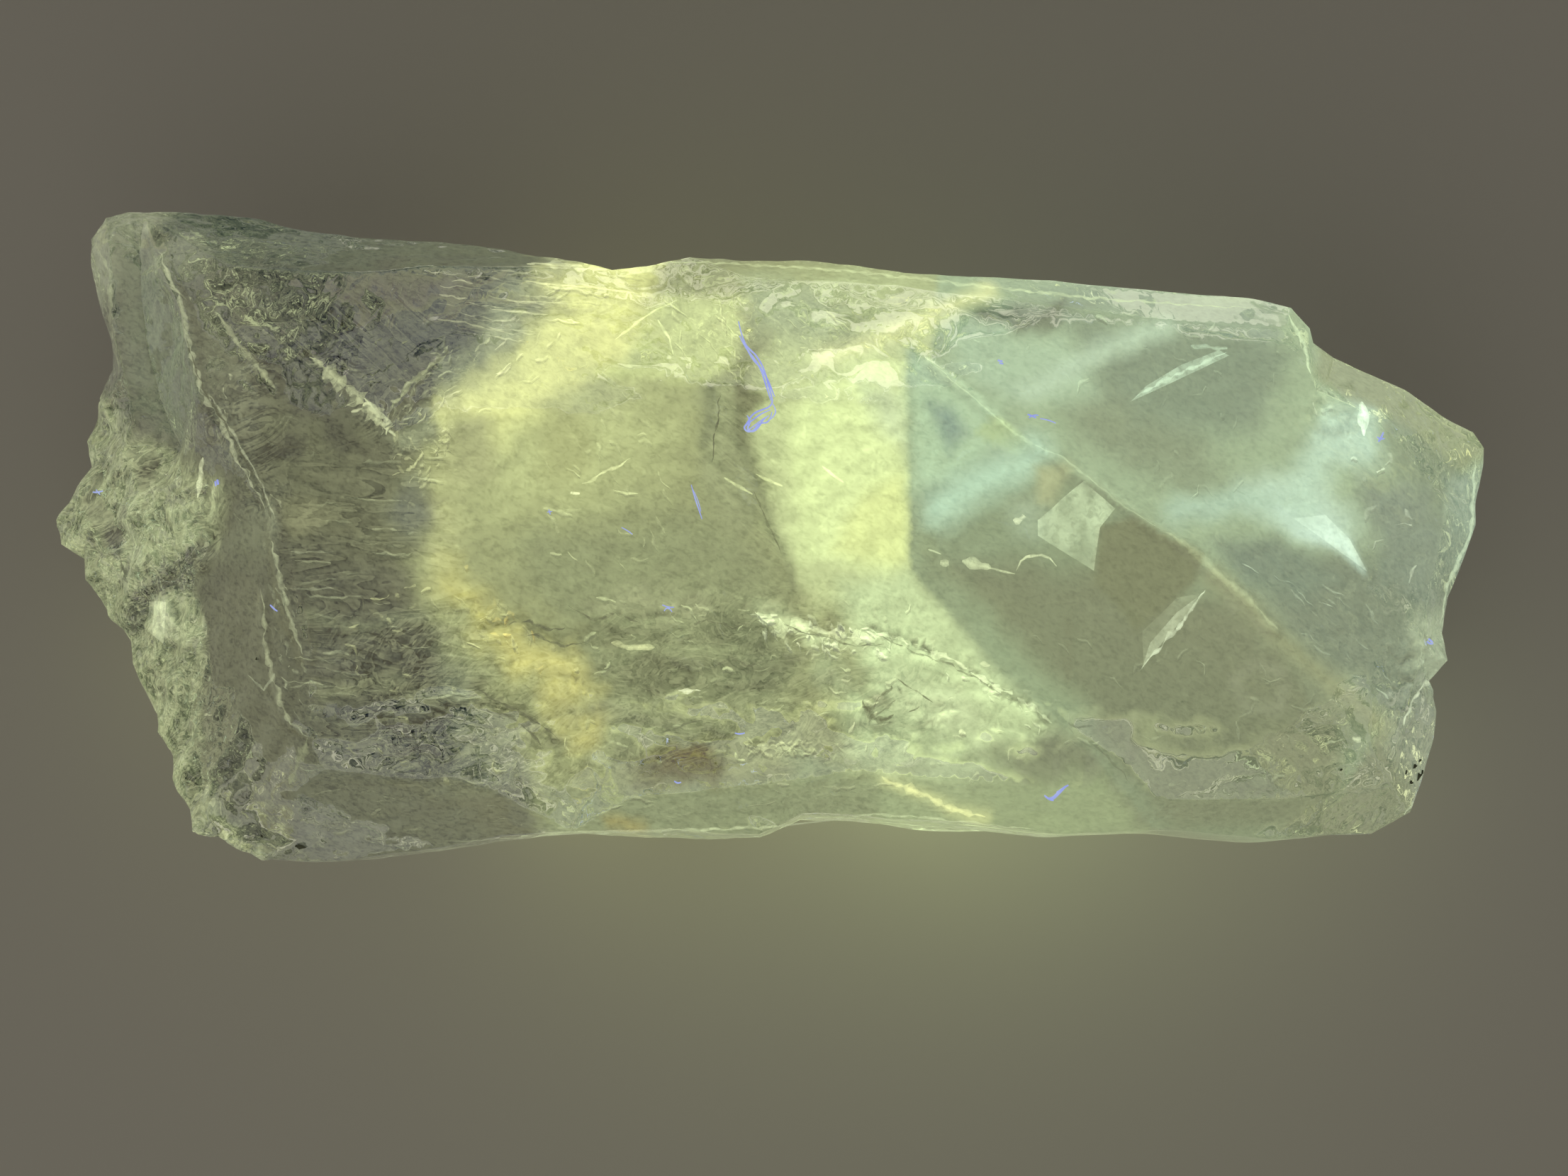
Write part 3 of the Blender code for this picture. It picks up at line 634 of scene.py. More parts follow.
def addMottle(tree, tones, scale):
    # Two tones, mixed in soft patches
    place = addNode(tree, "ShaderNodeTexCoord").outputs["Object"]
    grain = addNode(tree, "ShaderNodeTexNoise", {"Vector": place, "Scale": scale / mm})
    mixed = addNode(tree, "ShaderNodeMix", {"Factor": grain.outputs["Fac"]}, data_type="RGBA")
    mixed.inputs["A"].default_value = opaque(tones[0])
    mixed.inputs["B"].default_value = opaque(tones[1])
    return mixed.outputs["Result"]


def makeMaterial(name, values):
    # A material with the given values in its shader, which isn't counted as a lamp
    material = bpy.data.materials.new(name)
    material.use_nodes = True
    material.cycles.emission_sampling = "NONE"
    shader = material.node_tree.nodes["Principled BSDF"]
    for socket, value in values.items():
        shader.inputs[socket].default_value = value
    return material, material.node_tree, shader


def makeGrainGroup():
    # Grain that can be turned and stretched: soft light and dark, thin lines, and steps with one sharp side
    group = bpy.data.node_groups.new("crystalGrain", "ShaderNodeTree")
    for name in ("Position", "Turn", "Stretch"):
        group.interface.new_socket(name, in_out="INPUT", socket_type="NodeSocketVector")
    for name in ("Scale", "Warp", "Line Width", "Step Count"):
        group.interface.new_socket(name, in_out="INPUT", socket_type="NodeSocketFloat")
    for name in ("Soft", "Lines", "Steps"):
        group.interface.new_socket(name, in_out="OUTPUT", socket_type="NodeSocketFloat")
    enter = addNode(group, "NodeGroupInput").outputs
    leave = addNode(group, "NodeGroupOutput")
    turned = addNode(group, "ShaderNodeMapping", {"Vector": enter["Position"], "Rotation": enter["Turn"]})
    stretched = addNode(group, "ShaderNodeVectorMath", {0: turned.outputs[0], 1: enter["Stretch"]},
                        operation="MULTIPLY")
    grain = addNode(group, "ShaderNodeTexNoise",
                    {"Vector": stretched.outputs[0], "Scale": enter["Scale"], "Detail": 3.0,
                     "Roughness": 0.62, "Distortion": enter["Warp"]})
    soft = addNode(group, "ShaderNodeMapRange",
                   {"Value": grain.outputs["Fac"], "From Min": 0.25, "From Max": 0.75,
                    "To Min": -1.0, "To Max": 1.0})
    folded = addNode(group, "ShaderNodeMath", {0: soft.outputs[0]}, operation="ABSOLUTE")
    lines = addNode(group, "ShaderNodeMapRange",
                    {"Value": folded.outputs[0], "From Min": 0.0, "From Max": enter["Line Width"],
                     "To Min": 1.0, "To Max": 0.0})
    counted = addSum(group, grain.outputs["Fac"], enter["Step Count"], operation="MULTIPLY")
    stepped = addNode(group, "ShaderNodeMath", {0: counted}, operation="FRACT").outputs[0]
    steps = addNode(group, "ShaderNodeMapRange", {"Value": stepped, "To Min": -1.0, "To Max": 1.0})
    group.links.new(steps.outputs[0], leave.inputs["Steps"])
    group.links.new(soft.outputs[0], leave.inputs["Soft"])
    group.links.new(lines.outputs[0], leave.inputs["Lines"])
    return group


def addGrain(tree, group, position, stretch, scale, turn=0.0, warp=0.0, lineWidth=0.2, steps=6.0):
    node = addNode(tree, "ShaderNodeGroup", node_tree=group)
    tree.links.new(position, node.inputs["Position"])
    node.inputs["Turn"].default_value = (0.0, 0.0, math.radians(turn))
    node.inputs["Stretch"].default_value = stretch
    node.inputs["Scale"].default_value = scale
    node.inputs["Warp"].default_value = warp
    node.inputs["Line Width"].default_value = lineWidth
    node.inputs["Step Count"].default_value = steps
    return node.outputs


def makeCrystalMaterial(grainGroup):
    glass = crystalGlass
    material, tree, shader = makeMaterial("clearQuartz", {
        "Roughness": glass["roughness"],
        "IOR": glass["ior"],
        "Transmission Weight": 1.0,
        "Emission Strength": 1.0,
    })
    position = addPosition(tree)
    zones, marks, glow = [addNode(tree, "ShaderNodeAttribute", attribute_name=name).outputs["Vector"]
                          for name in ("zones", "marks", "glow")]
    zones = addNode(tree, "ShaderNodeSeparateXYZ", {0: zones}).outputs
    marks = addNode(tree, "ShaderNodeSeparateXYZ", {0: marks}).outputs
    covers = {"ledged": zones["X"], "flaky": zones["Y"], "crumbled": zones["Z"], "striated": marks["X"]}
    stained, detailShare = marks["Y"], marks["Z"]

    grains = {name: addGrain(tree, grainGroup, position, **look) for name, look in crystalGrains.items()}
    parts = []
    for name, side, zone, gain in crystalDetail:
        factors = [grains[name][side], covers[zone], gain] if zone else [grains[name][side], gain]
        parts.append(addSum(tree, *factors, operation="MULTIPLY"))
    detail = addSum(tree, addSum(tree, *parts), detailShare, operation="MULTIPLY")
    detail = addScaled(tree, linear(glass["detailTone"]), detail)

    grain = addNode(tree, "ShaderNodeMath", {0: grains["etch"]["Soft"], 1: glass["etchShare"], 2: 1.0},
                    operation="MULTIPLY_ADD")
    light = addScaled(tree, glow, grain.outputs[0])
    light = addNode(tree, "ShaderNodeVectorMath", {0: light, 1: detail}, operation="ADD").outputs[0]
    light = addNode(tree, "ShaderNodeVectorMath", {0: light, 1: (0.0, 0.0, 0.0)},
                    operation="MAXIMUM").outputs[0]
    # only the outer side of the skin gives light
    inner = addNode(tree, "ShaderNodeNewGeometry").outputs["Backfacing"]
    outer = addNode(tree, "ShaderNodeMath", {0: 1.0, 1: inner}, operation="SUBTRACT").outputs[0]
    tree.links.new(addScaled(tree, light, outer), shader.inputs["Emission Color"])

    tint = addNode(tree, "ShaderNodeMix", {"Factor": stained}, data_type="RGBA")
    tint.inputs["A"].default_value = opaque(glass["tint"])
    tint.inputs["B"].default_value = opaque(glass["stainTint"])
    tree.links.new(tint.outputs["Result"], shader.inputs["Base Color"])
    absorb = addNode(tree, "ShaderNodeVolumeAbsorption",
                     {"Color": opaque(glass["absorbColour"]), "Density": glass["absorbDensity"]})
    tree.links.new(absorb.outputs["Volume"], tree.nodes["Material Output"].inputs["Volume"])
    return material


def makeCrystal(grainGroup):
    mesh = makeCrystalMesh()
    plainNormals = readMesh(mesh)[1]
    plainRidges = ridgeValues(mesh)
    striated = carveCrystal(mesh)
    paintCrystal(mesh, plainNormals, plainRidges, striated)
    crystal = makeObject("crystal", mesh, makeCrystalMaterial(grainGroup))
    mesh.shade_smooth()
    mesh.set_sharp_from_angle(angle=math.radians(crystalShape["smoothAngle"]))
    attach(crystal, "root")
    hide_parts("quartz_crystal")
    print("crystal made:", len(mesh.polygons), "faces")
    return crystal


def onCrystal(crystal, place, depth=0.0):
    # The spot on the crystal's skin that lies behind a mark's place, moved in by depth,
    # and how the skin faces there
    start = inFrame(eye)
    toward = (inFrame((place[0], place[1], view["markLevel"])) - start).normalized()
    found, spotHit, normal, face = crystal.ray_cast(start, toward)
    if not found:
        return None, None
    return spotHit + toward * depth * mm, normal


# Cracks just under the skin, and painted highlights along some of the outline's edges, all drawn as painted
# glow: tone, width, cover, raggedness, depth, and where each runs
cracksAndPaintedRims = {
    "step": 0.08,
    "baseColour": (60, 62, 54),
    "roughness": 0.6,
    "strength": 0.9,
    "glint": {"stretch": (1.0, 1.0, 1.0), "scale": 5.0, "warp": 0.5},
    "patchy": {"From Min": -0.6, "From Max": 0.2, "To Min": 0.45, "To Max": 1.0},
    "nudge": 0.09,          # how far a crack strays from its line
    "swell": 2.4,           # how much its width comes and goes
    "narrowest": 0.12,
    "streak": 0.8,          # how much its cover comes and goes
    "middleCover": 1.25,
    "rimCover": 0.55,
    "lines": (
        ((196, 202, 158), 0.34, 0.75, 0.9, 0.25, ((-11.84, 3.85), (-11.39, 3.45), (-10.82, 2.99),
            (-10.25, 2.42), (-9.74, 1.85))),
        ((214, 222, 176), 0.16, 0.85, 0.9, 0.15, ((-10.4, 2.75), (-9.9, 2.2), (-9.6, 1.75))),
        ((172, 178, 136), 0.14, 0.7, 0.9, 0.2, ((-9.75, 2.4), (-9.26, 3.1), (-8.6, 3.67), (-8.27, 3.96))),
        ((158, 162, 126), 0.13, 0.7, 0.5, 0.2, ((-14.21, 4.94), (-13.63, 4.13), (-13.17, 3.56),
            (-12.71, 2.99))),
        ((176, 180, 146), 0.10, 0.7, 0.9, 0.1, ((-15.77, 6.67), (-15.59, 6.09), (-15.17, 5.28),
            (-15.08, 4.71), (-14.85, 3.79), (-14.6, 2.87), (-14.02, 2.08), (-13.67, 1.17), (-13.21, 0.49),
            (-12.74, -0.3))),
        ((166, 170, 140), 0.07, 0.7, 0.6, 0.1, ((-14.72, 3.1), (-14.26, 2.65), (-13.57, 1.51),
            (-12.99, 0.49), (-12.63, -0.41))),
        ((170, 176, 140), 0.09, 0.7, 0.9, 0.1, ((-12.67, -0.98), (-12.55, -1.65), (-12.37, -2.21),
            (-12.13, -3.11), (-11.83, -3.89))),
        ((162, 167, 132), 0.10, 0.65, 0.9, 0.1, ((-12.92, -2.21), (-12.77, -3.78), (-12.53, -4.67),
            (-12.07, -5.66), (-11.62, -5.99))),
        ((150, 156, 118), 0.22, 0.5, 0.8, 0.2, ((-11.62, -5.99), (-11.83, -6.55), (-12.03, -7.21))),
        ((222, 228, 186), 0.13, 0.9, 0.3, 0.1, ((-14.5, 1.2), (-14.6, 0.15))),
        ((214, 220, 166), 0.07, 0.8, 0.8, 0.3, ((-4.82, 0.48), (-4.26, 0.78), (-3.61, 1.16))),
        ((232, 236, 190), 0.10, 0.9, 0.4, 0.2, ((-5.12, 0.28), (-4.88, 0.26))),
        ((206, 214, 158), 0.08, 0.8, 0.3, 0.2, ((-1.19, 0.66), (-0.46, 0.21))),
        ((214, 222, 162), 0.08, 0.8, 0.3, 0.2, ((-0.38, 0.74), (0.31, 0.44))),
        ((236, 242, 180), 0.06, 0.7, 0.3, 0.2, ((1.32, 0.95), (1.85, 0.54))),
        ((184, 198, 158), 0.05, 0.32, 0.5, 0.15, ((4.09, 3.71), (5.2, 2.77), (6.1, 1.95), (6.8, 1.48),
            (7.4, 1.23), (8.19, 0.61), (8.79, 0.1), (9.38, -0.31), (9.98, -0.72))),
        ((166, 174, 134), 0.16, 0.35, 0.5, 0.3, ((9.98, -0.72), (10.77, -1.23), (11.46, -1.94),
            (12.14, -2.55), (12.83, -3.26))),
        ((216, 230, 180), 0.09, 0.6, 1.2, 0.1, ((2.5, -3.23), (3.1, -3.45), (3.7, -3.7))),
        ((226, 236, 188), 0.13, 0.7, 1.2, 0.1, ((3.9, -3.75), (4.31, -3.94), (5.01, -4.25))),
        ((220, 232, 184), 0.14, 0.7, 1.2, 0.1, ((5.1, -4.35), (5.71, -4.76), (6.1, -4.95))),
        ((200, 212, 168), 0.10, 0.6, 1.2, 0.1, ((6.2, -5.0), (6.51, -5.16), (7.11, -5.67))),
        ((214, 226, 176), 0.30, 0.75, 1.0, 0.2, ((-0.33, -2.82), (0.18, -3.23), (0.68, -3.13),
            (1.09, -3.5))),
        ((222, 232, 184), 0.20, 0.7, 0.9, 0.2, ((0.68, -3.1), (1.4, -3.3), (2.2, -3.48), (3.0, -3.4))),
        ((208, 212, 158), 0.18, 0.7, 0.6, 0.2, ((-4.06, -3.59), (-3.55, -3.74), (-2.95, -3.74))),
        ((230, 236, 196), 0.10, 0.9, 0.5, 0.1, ((-2.34, -4.84), (-1.78, -4.84))),
        ((206, 214, 166), 0.16, 0.7, 1.0, 0.1, ((-0.32, -6.18), (0.18, -6.28), (0.78, -6.28))),
        # a painted highlight along the front edge
        ((228, 228, 160), 0.16, 0.5, 0.9, 0.1, ((2.79, -6.99), (3.69, -7.39), (4.58, -7.79),
            (5.38, -8.04))),
        # a painted glint along a bright sliver
        ((216, 228, 196), 0.07, 0.8, 0.9, 0.3, ((11.05, -2.24), (10.33, -3.16), (9.32, -4.32))),
        ((206, 230, 200), 0.10, 0.7, 0.7, 0.3, ((9.33, 2.77), (10.45, 3.39), (11.68, 3.91))),
        ((190, 214, 184), 0.14, 0.5, 0.7, 0.5, ((10.77, 4.12), (11.68, 4.02))),
        ((214, 222, 176), 0.07, 0.9, 0.2, 0.5, ((6.2, -1.75), (6.3, -1.5), (6.46, -1.38), (6.86, -1.33),
            (7.1, -1.42), (7.26, -1.62))),
        ((208, 218, 172), 0.05, 0.8, 0.3, 0.5, ((3.96, -1.2), (4.3, -1.32))),
        ((206, 216, 170), 0.22, 0.7, 0.2, 0.5, ((4.28, -1.55), (4.5, -1.55))),
        ((208, 218, 172), 0.24, 0.7, 0.4, 0.5, ((4.85, -1.5), (5.1, -1.55), (5.56, -1.69))),
        ((208, 218, 172), 0.07, 0.7, 0.3, 0.5, ((5.5, -1.68), (6.16, -1.84))),
        ((216, 224, 182), 0.28, 0.7, 0.6, 0.4, ((6.2, -0.5), (6.45, -0.3))),
        ((212, 222, 190), 0.12, 0.8, 0.5, 0.3, ((15.9, -5.72), (16.16, -5.07), (16.58, -4.57),
            (17.19, -4.22))),
        ((226, 244, 216), 0.24, 0.85, 0.4, 0.3, ((15.1, 2.6), (15.14, 1.74))),
        ((206, 214, 176), 0.20, 0.6, 0.6, 0.3, ((14.65, -6.0), (14.85, -6.05))),
        ((212, 214, 170), 0.06, 0.7, 0.3, 0.1, ((-7.23, 5.11), (-5.76, 4.94))),
        ((222, 224, 172), 0.06, 0.7, 0.3, 0.1, ((-6.34, 5.83), (-4.63, 5.66))),
        ((236, 238, 176), 0.05, 0.6, 0.3, 0.1, ((-5.03, 5.74), (-3.32, 5.49))),
        ((200, 202, 156), 0.05, 0.7, 0.3, 0.1, ((-6.91, 5.32), (-5.11, 5.24))),
        ((182, 184, 146), 0.06, 0.7, 0.5, 0.1, ((-8.6, 4.85), (-7.88, 4.73), (-6.49, 4.4))),
        ((146, 150, 120), 0.06, 0.6, 0.5, 0.1, ((-12.2, -1.26), (-11.1, -1.26))),
        ((146, 150, 120), 0.06, 0.6, 0.5, 0.1, ((-12.2, -2.21), (-11.1, -2.21))),
        ((236, 240, 190), 0.16, 0.8, 0.6, 0.1, ((-6.3, 6.32), (-5.53, 6.29), (-4.88, 6.16), (-4.22, 6.16))),
        ((190, 196, 150), 0.16, 0.7, 0.5, 0.1, ((-13.85, -8.5), (-13.5, -8.4))),
        # painted highlights along the edges of the tip end
        ((190, 204, 166), 0.10, 0.9, 0.6, 0.05, ((13.3, 4.95), (13.7, 4.2), (13.85, 3.4))),
        ((186, 200, 166), 0.10, 0.9, 0.6, 0.05, ((18.0, 1.2), (17.85, -0.8), (17.2, -2.1), (17.0, -3.1))),
        ((182, 194, 160), 0.09, 0.9, 0.6, 0.05, ((16.9, -5.4), (16.75, -6.5), (16.5, -7.2), (15.8, -8.1))),
        # a painted highlight along the back edge
        ((196, 206, 160), 0.08, 0.6, 0.6, 0.1, ((-3.4, 6.35), (-1.0, 6.3), (2.0, 6.1), (5.0, 5.75),
            (8.0, 5.4), (10.8, 5.2), (12.8, 5.1))),
        ((224, 232, 172), 0.08, 0.6, 0.5, 0.1, ((-2.4, 5.35), (-3.0, 5.05), (-3.5, 4.7), (-4.0, 4.3))),
        ((222, 232, 176), 0.08, 0.6, 0.5, 0.1, ((-2.9, 4.8), (-2.6, 4.3), (-2.5, 3.9))),
        ((150, 156, 128), 0.08, 0.6, 0.5, 0.1, ((-12.5, -4.4), (-12.8, -4.8), (-13.2, -4.4))),
        # a painted highlight along the lower front edge
        ((176, 184, 146), 0.07, 0.7, 0.5, 0.05, ((-8.1, -8.65), (-5.0, -8.45), (-2.2, -8.35), (0.8, -8.25),
            (2.6, -7.95), (4.7, -8.1), (7.0, -8.4))),
        # a painted highlight along the edge of the broken end
        ((150, 154, 122), 0.10, 0.6, 0.6, 0.1, ((-17.4, 6.8), (-17.05, 6.1), (-17.0, 4.8), (-16.7, 3.3))),
    ),
    # dark ones, which lie on the skin: tone, width, cover, raggedness, and where each runs
    "darkDepth": -0.01,
    "darkLines": (
        ((112, 116, 84), 0.10, 0.8, 0.9, ((2.35, -5.1), (2.5, -5.45), (2.8, -5.6), (3.1, -5.45))),
        ((112, 116, 84), 0.08, 0.8, 0.9, ((2.3, -5.25), (2.6, -5.3), (2.75, -5.0), (3.0, -4.8),
            (3.05, -4.65))),
        ((112, 116, 84), 0.07, 0.7, 0.9, ((2.45, -5.6), (2.75, -5.4), (3.15, -5.1))),
        ((118, 122, 88), 0.05, 0.7, 0.9, ((3.2, -4.5), (3.6, -4.75), (4.05, -5.1))),
        ((118, 122, 88), 0.05, 0.7, 0.9, ((3.5, -5.35), (3.75, -5.2))),
        ((104, 106, 80), 0.07, 0.7, 0.9, ((-7.4, -4.8), (-6.9, -5.1), (-6.35, -5.35), (-5.8, -5.7),
            (-5.3, -6.1))),
        ((104, 106, 80), 0.06, 0.7, 0.9, ((-7.2, -5.3), (-6.5, -5.5), (-6.0, -5.95), (-5.7, -6.3))),
        ((104, 106, 80), 0.06, 0.7, 0.9, ((-6.7, -3.1), (-6.1, -3.05), (-5.6, -3.3), (-5.2, -3.2))),
        ((104, 106, 80), 0.05, 0.7, 0.9, ((-6.5, -3.35), (-5.9, -3.4), (-5.3, -3.7), (-4.7, -3.6))),
        ((110, 112, 84), 0.05, 0.7, 0.9, ((-5.2, -2.6), (-4.5, -3.0), (-3.9, -2.85), (-3.3, -3.1))),
        ((110, 112, 84), 0.05, 0.7, 0.9, ((-2.3, -3.3), (-1.6, -3.0), (-0.9, -3.2), (-0.3, -3.0))),
        ((110, 112, 84), 0.05, 0.6, 0.9, ((-1.6, -4.3), (-1.0, -4.0), (-0.5, -4.2), (0.1, -4.0))),
        ((114, 118, 86), 0.05, 0.7, 0.9, ((0.2, -3.0), (0.8, -3.3), (1.4, -3.45), (2.2, -3.7),
            (2.9, -3.65))),
        ((140, 150, 110), 0.05, 0.7, 0.9, ((2.6, -3.35), (3.6, -3.8), (4.5, -4.15), (5.2, -4.5),
            (6.2, -5.15))),
        ((96, 96, 74), 0.07, 0.7, 0.9, ((-12.9, 1.7), (-12.4, 1.45), (-11.9, 1.5), (-11.5, 1.3))),
        ((96, 96, 74), 0.06, 0.7, 0.9, ((-15.1, 4.6), (-14.8, 3.6), (-14.5, 2.9), (-13.9, 2.0),
            (-13.4, 1.0))),
        ((90, 90, 70), 0.06, 0.7, 0.9, ((-13.6, 1.4), (-13.2, 0.7), (-12.9, 0.1), (-12.7, -0.6))),
        ((86, 88, 70), 0.12, 0.7, 0.9, ((-16.35, -2.5), (-16.1, -2.9), (-16.2, -3.3))),
        ((86, 88, 70), 0.10, 0.7, 0.9, ((-16.75, -0.7), (-16.65, -1.1), (-16.5, -1.6),
            (-16.3, -2.2))),
        ((92, 94, 74), 0.07, 0.7, 0.9, ((-14.9, -1.5), (-14.3, -1.2), (-13.9, -0.8))),
        ((92, 94, 74), 0.07, 0.7, 0.9, ((-15.9, -2.15), (-15.2, -2.1), (-14.6, -2.25))),
        ((96, 98, 74), 0.05, 0.7, 0.9, ((-1.3, 2.9), (-1.35, 2.2), (-1.45, 1.6), (-1.5, 1.1))),
        ((108, 112, 80), 0.05, 0.6, 0.9, ((-0.4, 0.3), (-0.1, -0.5), (0.3, -1.3))),
        ((112, 118, 92), 0.06, 0.5, 0.6, ((8.0, -6.1), (8.5, -6.5), (9.0, -7.1))),
        ((100, 106, 84), 0.08, 0.5, 0.6, ((7.5, -5.6), (7.8, -5.75), (8.1, -5.7))),
        ((112, 116, 88), 0.04, 0.6, 0.9, ((-2.9, -5.9), (-2.1, -5.7), (-1.5, -5.4))),
    ),
}

# Small flakes and scratches under the skin, scattered by chance, each with a painted shadow beside it
flakeLook = {
    "seed": 7,
    "ragged": 0.9,
    "depth": 0.08,
    "pieces": 8,
    "shortestPiece": 0.05,
    "lengthShare": (0.6, 1.0),
    "bow": 0.35,
    "toneShare": (0.8, 1.12),
    "widthShare": (0.3, 1.3),
    "coverShare": (0.2, 1.1),
    "shadowTone": 0.62,
    "shadowCover": 0.8,
    "shadowShift": (0.02, -0.03),
    "shadowBelow": 0.6,
}

# Each row: how many, tone, cover, length, width, turn, spread of the turn, bend, and the area's corners
innerFlakes = (
    (60, (140, 145, 114), 0.40, (0.2, 0.8), 0.06, 35, 60, 0.5, ((-14.4, 5.6), (-8.2, 5.6), (-8.8, 1.2),
        (-12.6, 1.0))),
    (70, (160, 166, 130), 0.60, (0.4, 1.6), 0.06, 0, 8, 0.2, ((-12.2, 1.0), (-8.6, 1.4), (-7.4, -5.4),
        (-11.7, -5.8))),
    (80, (196, 200, 146), 0.60, (0.15, 0.6), 0.07, -25, 60, 0.9, ((-10.8, -2.6), (-7.6, -1.6), (-4.6, -4.6),
        (-5.2, -7.2), (-10.6, -7.0))),
    (90, (196, 206, 156), 0.55, (0.15, 0.7), 0.07, -5, 45, 0.9, ((-4.6, -2.4), (0.6, -2.4), (2.6, -3.6),
        (2.2, -6.6), (-4.6, -6.8))),
    (60, (232, 240, 186), 0.50, (0.15, 0.6), 0.07, 30, 50, 0.8, ((0.8, -2.4), (3.4, -2.6), (6.8, -5.0),
        (6.6, -7.2), (1.6, -7.0))),
    (60, (240, 244, 190), 0.45, (0.2, 0.9), 0.06, 35, 25, 0.4, ((-8.8, 1.2), (-6.4, 2.6), (-3.0, 5.8),
        (-6.4, 5.9), (-8.4, 3.4))),
    (40, (236, 214, 120), 0.50, (0.1, 0.4), 0.09, 0, 90, 0.9, ((-8.6, -1.0), (-7.4, -1.8), (-5.0, -4.4),
        (-6.2, -4.8))),
    (50, (210, 218, 164), 0.40, (0.2, 0.8), 0.06, -40, 40, 0.5, ((-5.8, 2.6), (-2.6, 3.0), (-1.8, -1.8),
        (-6.4, -1.6))),
    (40, (228, 236, 176), 0.45, (0.3, 1.1), 0.06, -60, 25, 0.3, ((-2.6, 5.4), (2.2, 5.4), (1.0, 3.4),
        (-2.2, 3.2))),
    (50, (190, 204, 166), 0.40, (0.15, 0.6), 0.06, 10, 70, 0.6, ((4.4, 5.2), (13.2, 4.6), (12.8, 0.6),
        (9.8, -0.2), (5.6, 3.4))),
    (60, (176, 186, 150), 0.40, (0.15, 0.7), 0.06, -20, 70, 0.7, ((6.4, -3.4), (12.6, -3.8), (15.0, -6.4),
        (13.2, -8.0), (7.6, -7.6))),
    (50, (206, 222, 190), 0.45, (0.3, 1.0), 0.06, -42, 20, 0.3, ((11.8, -1.4), (13.4, -1.6), (16.4, -3.6),
        (15.6, -5.0), (13.4, -3.4))),
    (40, (216, 228, 196), 0.50, (0.15, 0.6), 0.08, 60, 70, 0.8, ((13.6, 3.0), (16.4, 1.6), (17.6, -0.6),
        (16.8, -4.6), (15.4, -1.0), (14.4, 1.4))),
    (60, (196, 200, 160), 0.55, (0.15, 0.5), 0.09, 70, 60, 0.9, ((-16.6, 1.2), (-14.2, 0.4), (-14.3, -3.8),
        (-13.8, -7.6), (-16.2, -3.6))),
    (50, (158, 162, 128), 0.45, (0.2, 0.9), 0.06, -62, 20, 0.4, ((-16.6, 6.6), (-14.6, 5.6), (-12.2, -2.0),
        (-12.0, -6.0), (-14.0, -2.4), (-14.8, 2.6))),
    (110, (206, 212, 168), 0.80, (0.10, 0.40), 0.07, 50, 45, 0.5, ((-12.0, 3.9), (-11.6, 4.1), (-9.5, 1.9),
        (-9.9, 1.6))),
    (90, (180, 186, 146), 0.70, (0.10, 0.45), 0.06, 40, 50, 0.5, ((-9.9, 2.5), (-8.4, 4.2), (-7.9, 3.9),
        (-8.9, 2.4), (-9.7, 1.9))),
    (80, (206, 210, 156), 0.70, (0.10, 0.45), 0.07, 20, 70, 0.6, ((-9.8, 2.2), (-8.4, 2.6), (-8.0, 1.0),
        (-9.2, -0.4), (-9.6, 0.8))),
    (120, (222, 232, 188), 0.75, (0.10, 0.45), 0.07, -20, 60, 0.8, ((-0.5, -2.7), (1.2, -3.0), (3.2, -3.4),
        (3.0, -3.9), (1.2, -4.0), (-0.2, -3.5))),
    (90, (220, 230, 186), 0.70, (0.10, 0.40), 0.06, -20, 50, 0.7, ((2.8, -3.3), (4.6, -3.9), (7.0, -5.4),
        (6.8, -5.9), (4.4, -4.6))),
    (70, (190, 196, 150), 0.70, (0.10, 0.40), 0.06, 0, 50, 0.8, ((-0.7, -6.0), (1.2, -6.1), (1.2, -6.5),
        (-0.6, -6.5))),
    (70, (178, 182, 146), 0.70, (0.10, 0.50), 0.06, -60, 25, 0.6, ((-15.5, 6.0), (-15.0, 6.2),
        (-12.4, -0.2), (-12.9, -0.4))),
    (60, (176, 182, 146), 0.70, (0.10, 0.40), 0.06, -70, 30, 0.6, ((-13.0, -1.0), (-12.4, -1.0),
        (-11.4, -6.0), (-12.2, -6.2))),
    (60, (220, 222, 178), 0.45, (0.5, 1.8), 0.04, -6, 5, 0.1, ((-8.8, 6.1), (-3.4, 6.1), (-4.2, 5.2),
        (-6.4, 4.2), (-8.2, 4.5))),
    (50, (168, 172, 134), 0.40, (0.3, 1.0), 0.06, 5, 15, 0.3, ((-11.4, -6.6), (4.0, -7.2), (4.6, -8.2),
        (-11.6, -8.4))),
)

# Thin films under the skin, drawn as painted glow: tone, cover, depth and corners
filmLook = {"cuts": 7, "patchMiddle": 0.75, "patchChange": 0.7, "leastCover": 0.05}
innerFilms = (
    ((204, 220, 180), 0.62, 0.5, ((6.77, -0.41), (7.99, 0.61), (8.78, -0.11), (8.38, -0.62), (8.21, -1.74),
        (6.77, -0.82))),
    ((176, 186, 152), 0.30, 0.7, ((11.0, -2.3), (10.33, -3.1), (9.35, -4.25), (9.4, -3.3), (10.3, -2.4))),
    # a painted glint along the same bright sliver
    ((206, 218, 184), 0.60, 0.3, ((11.05, -2.25), (10.6, -2.8), (9.9, -3.6), (9.35, -4.3), (9.6, -3.6),
        (10.3, -2.8))),
    ((202, 226, 196), 0.60, 0.3, ((9.2, 2.65), (10.4, 3.2), (11.75, 3.85), (11.5, 4.0), (10.5, 3.6),
        (9.6, 3.05))),
    ((214, 232, 206), 0.42, 0.3, ((13.3, -0.4), (14.1, -0.31), (14.68, -0.92), (15.11, -1.79),
        (14.28, -1.13), (13.59, -0.62))),
    ((212, 218, 180), 0.45, 0.2, ((-15.75, -2.5), (-15.3, -2.55), (-15.35, -3.6), (-15.75, -3.3))),
)


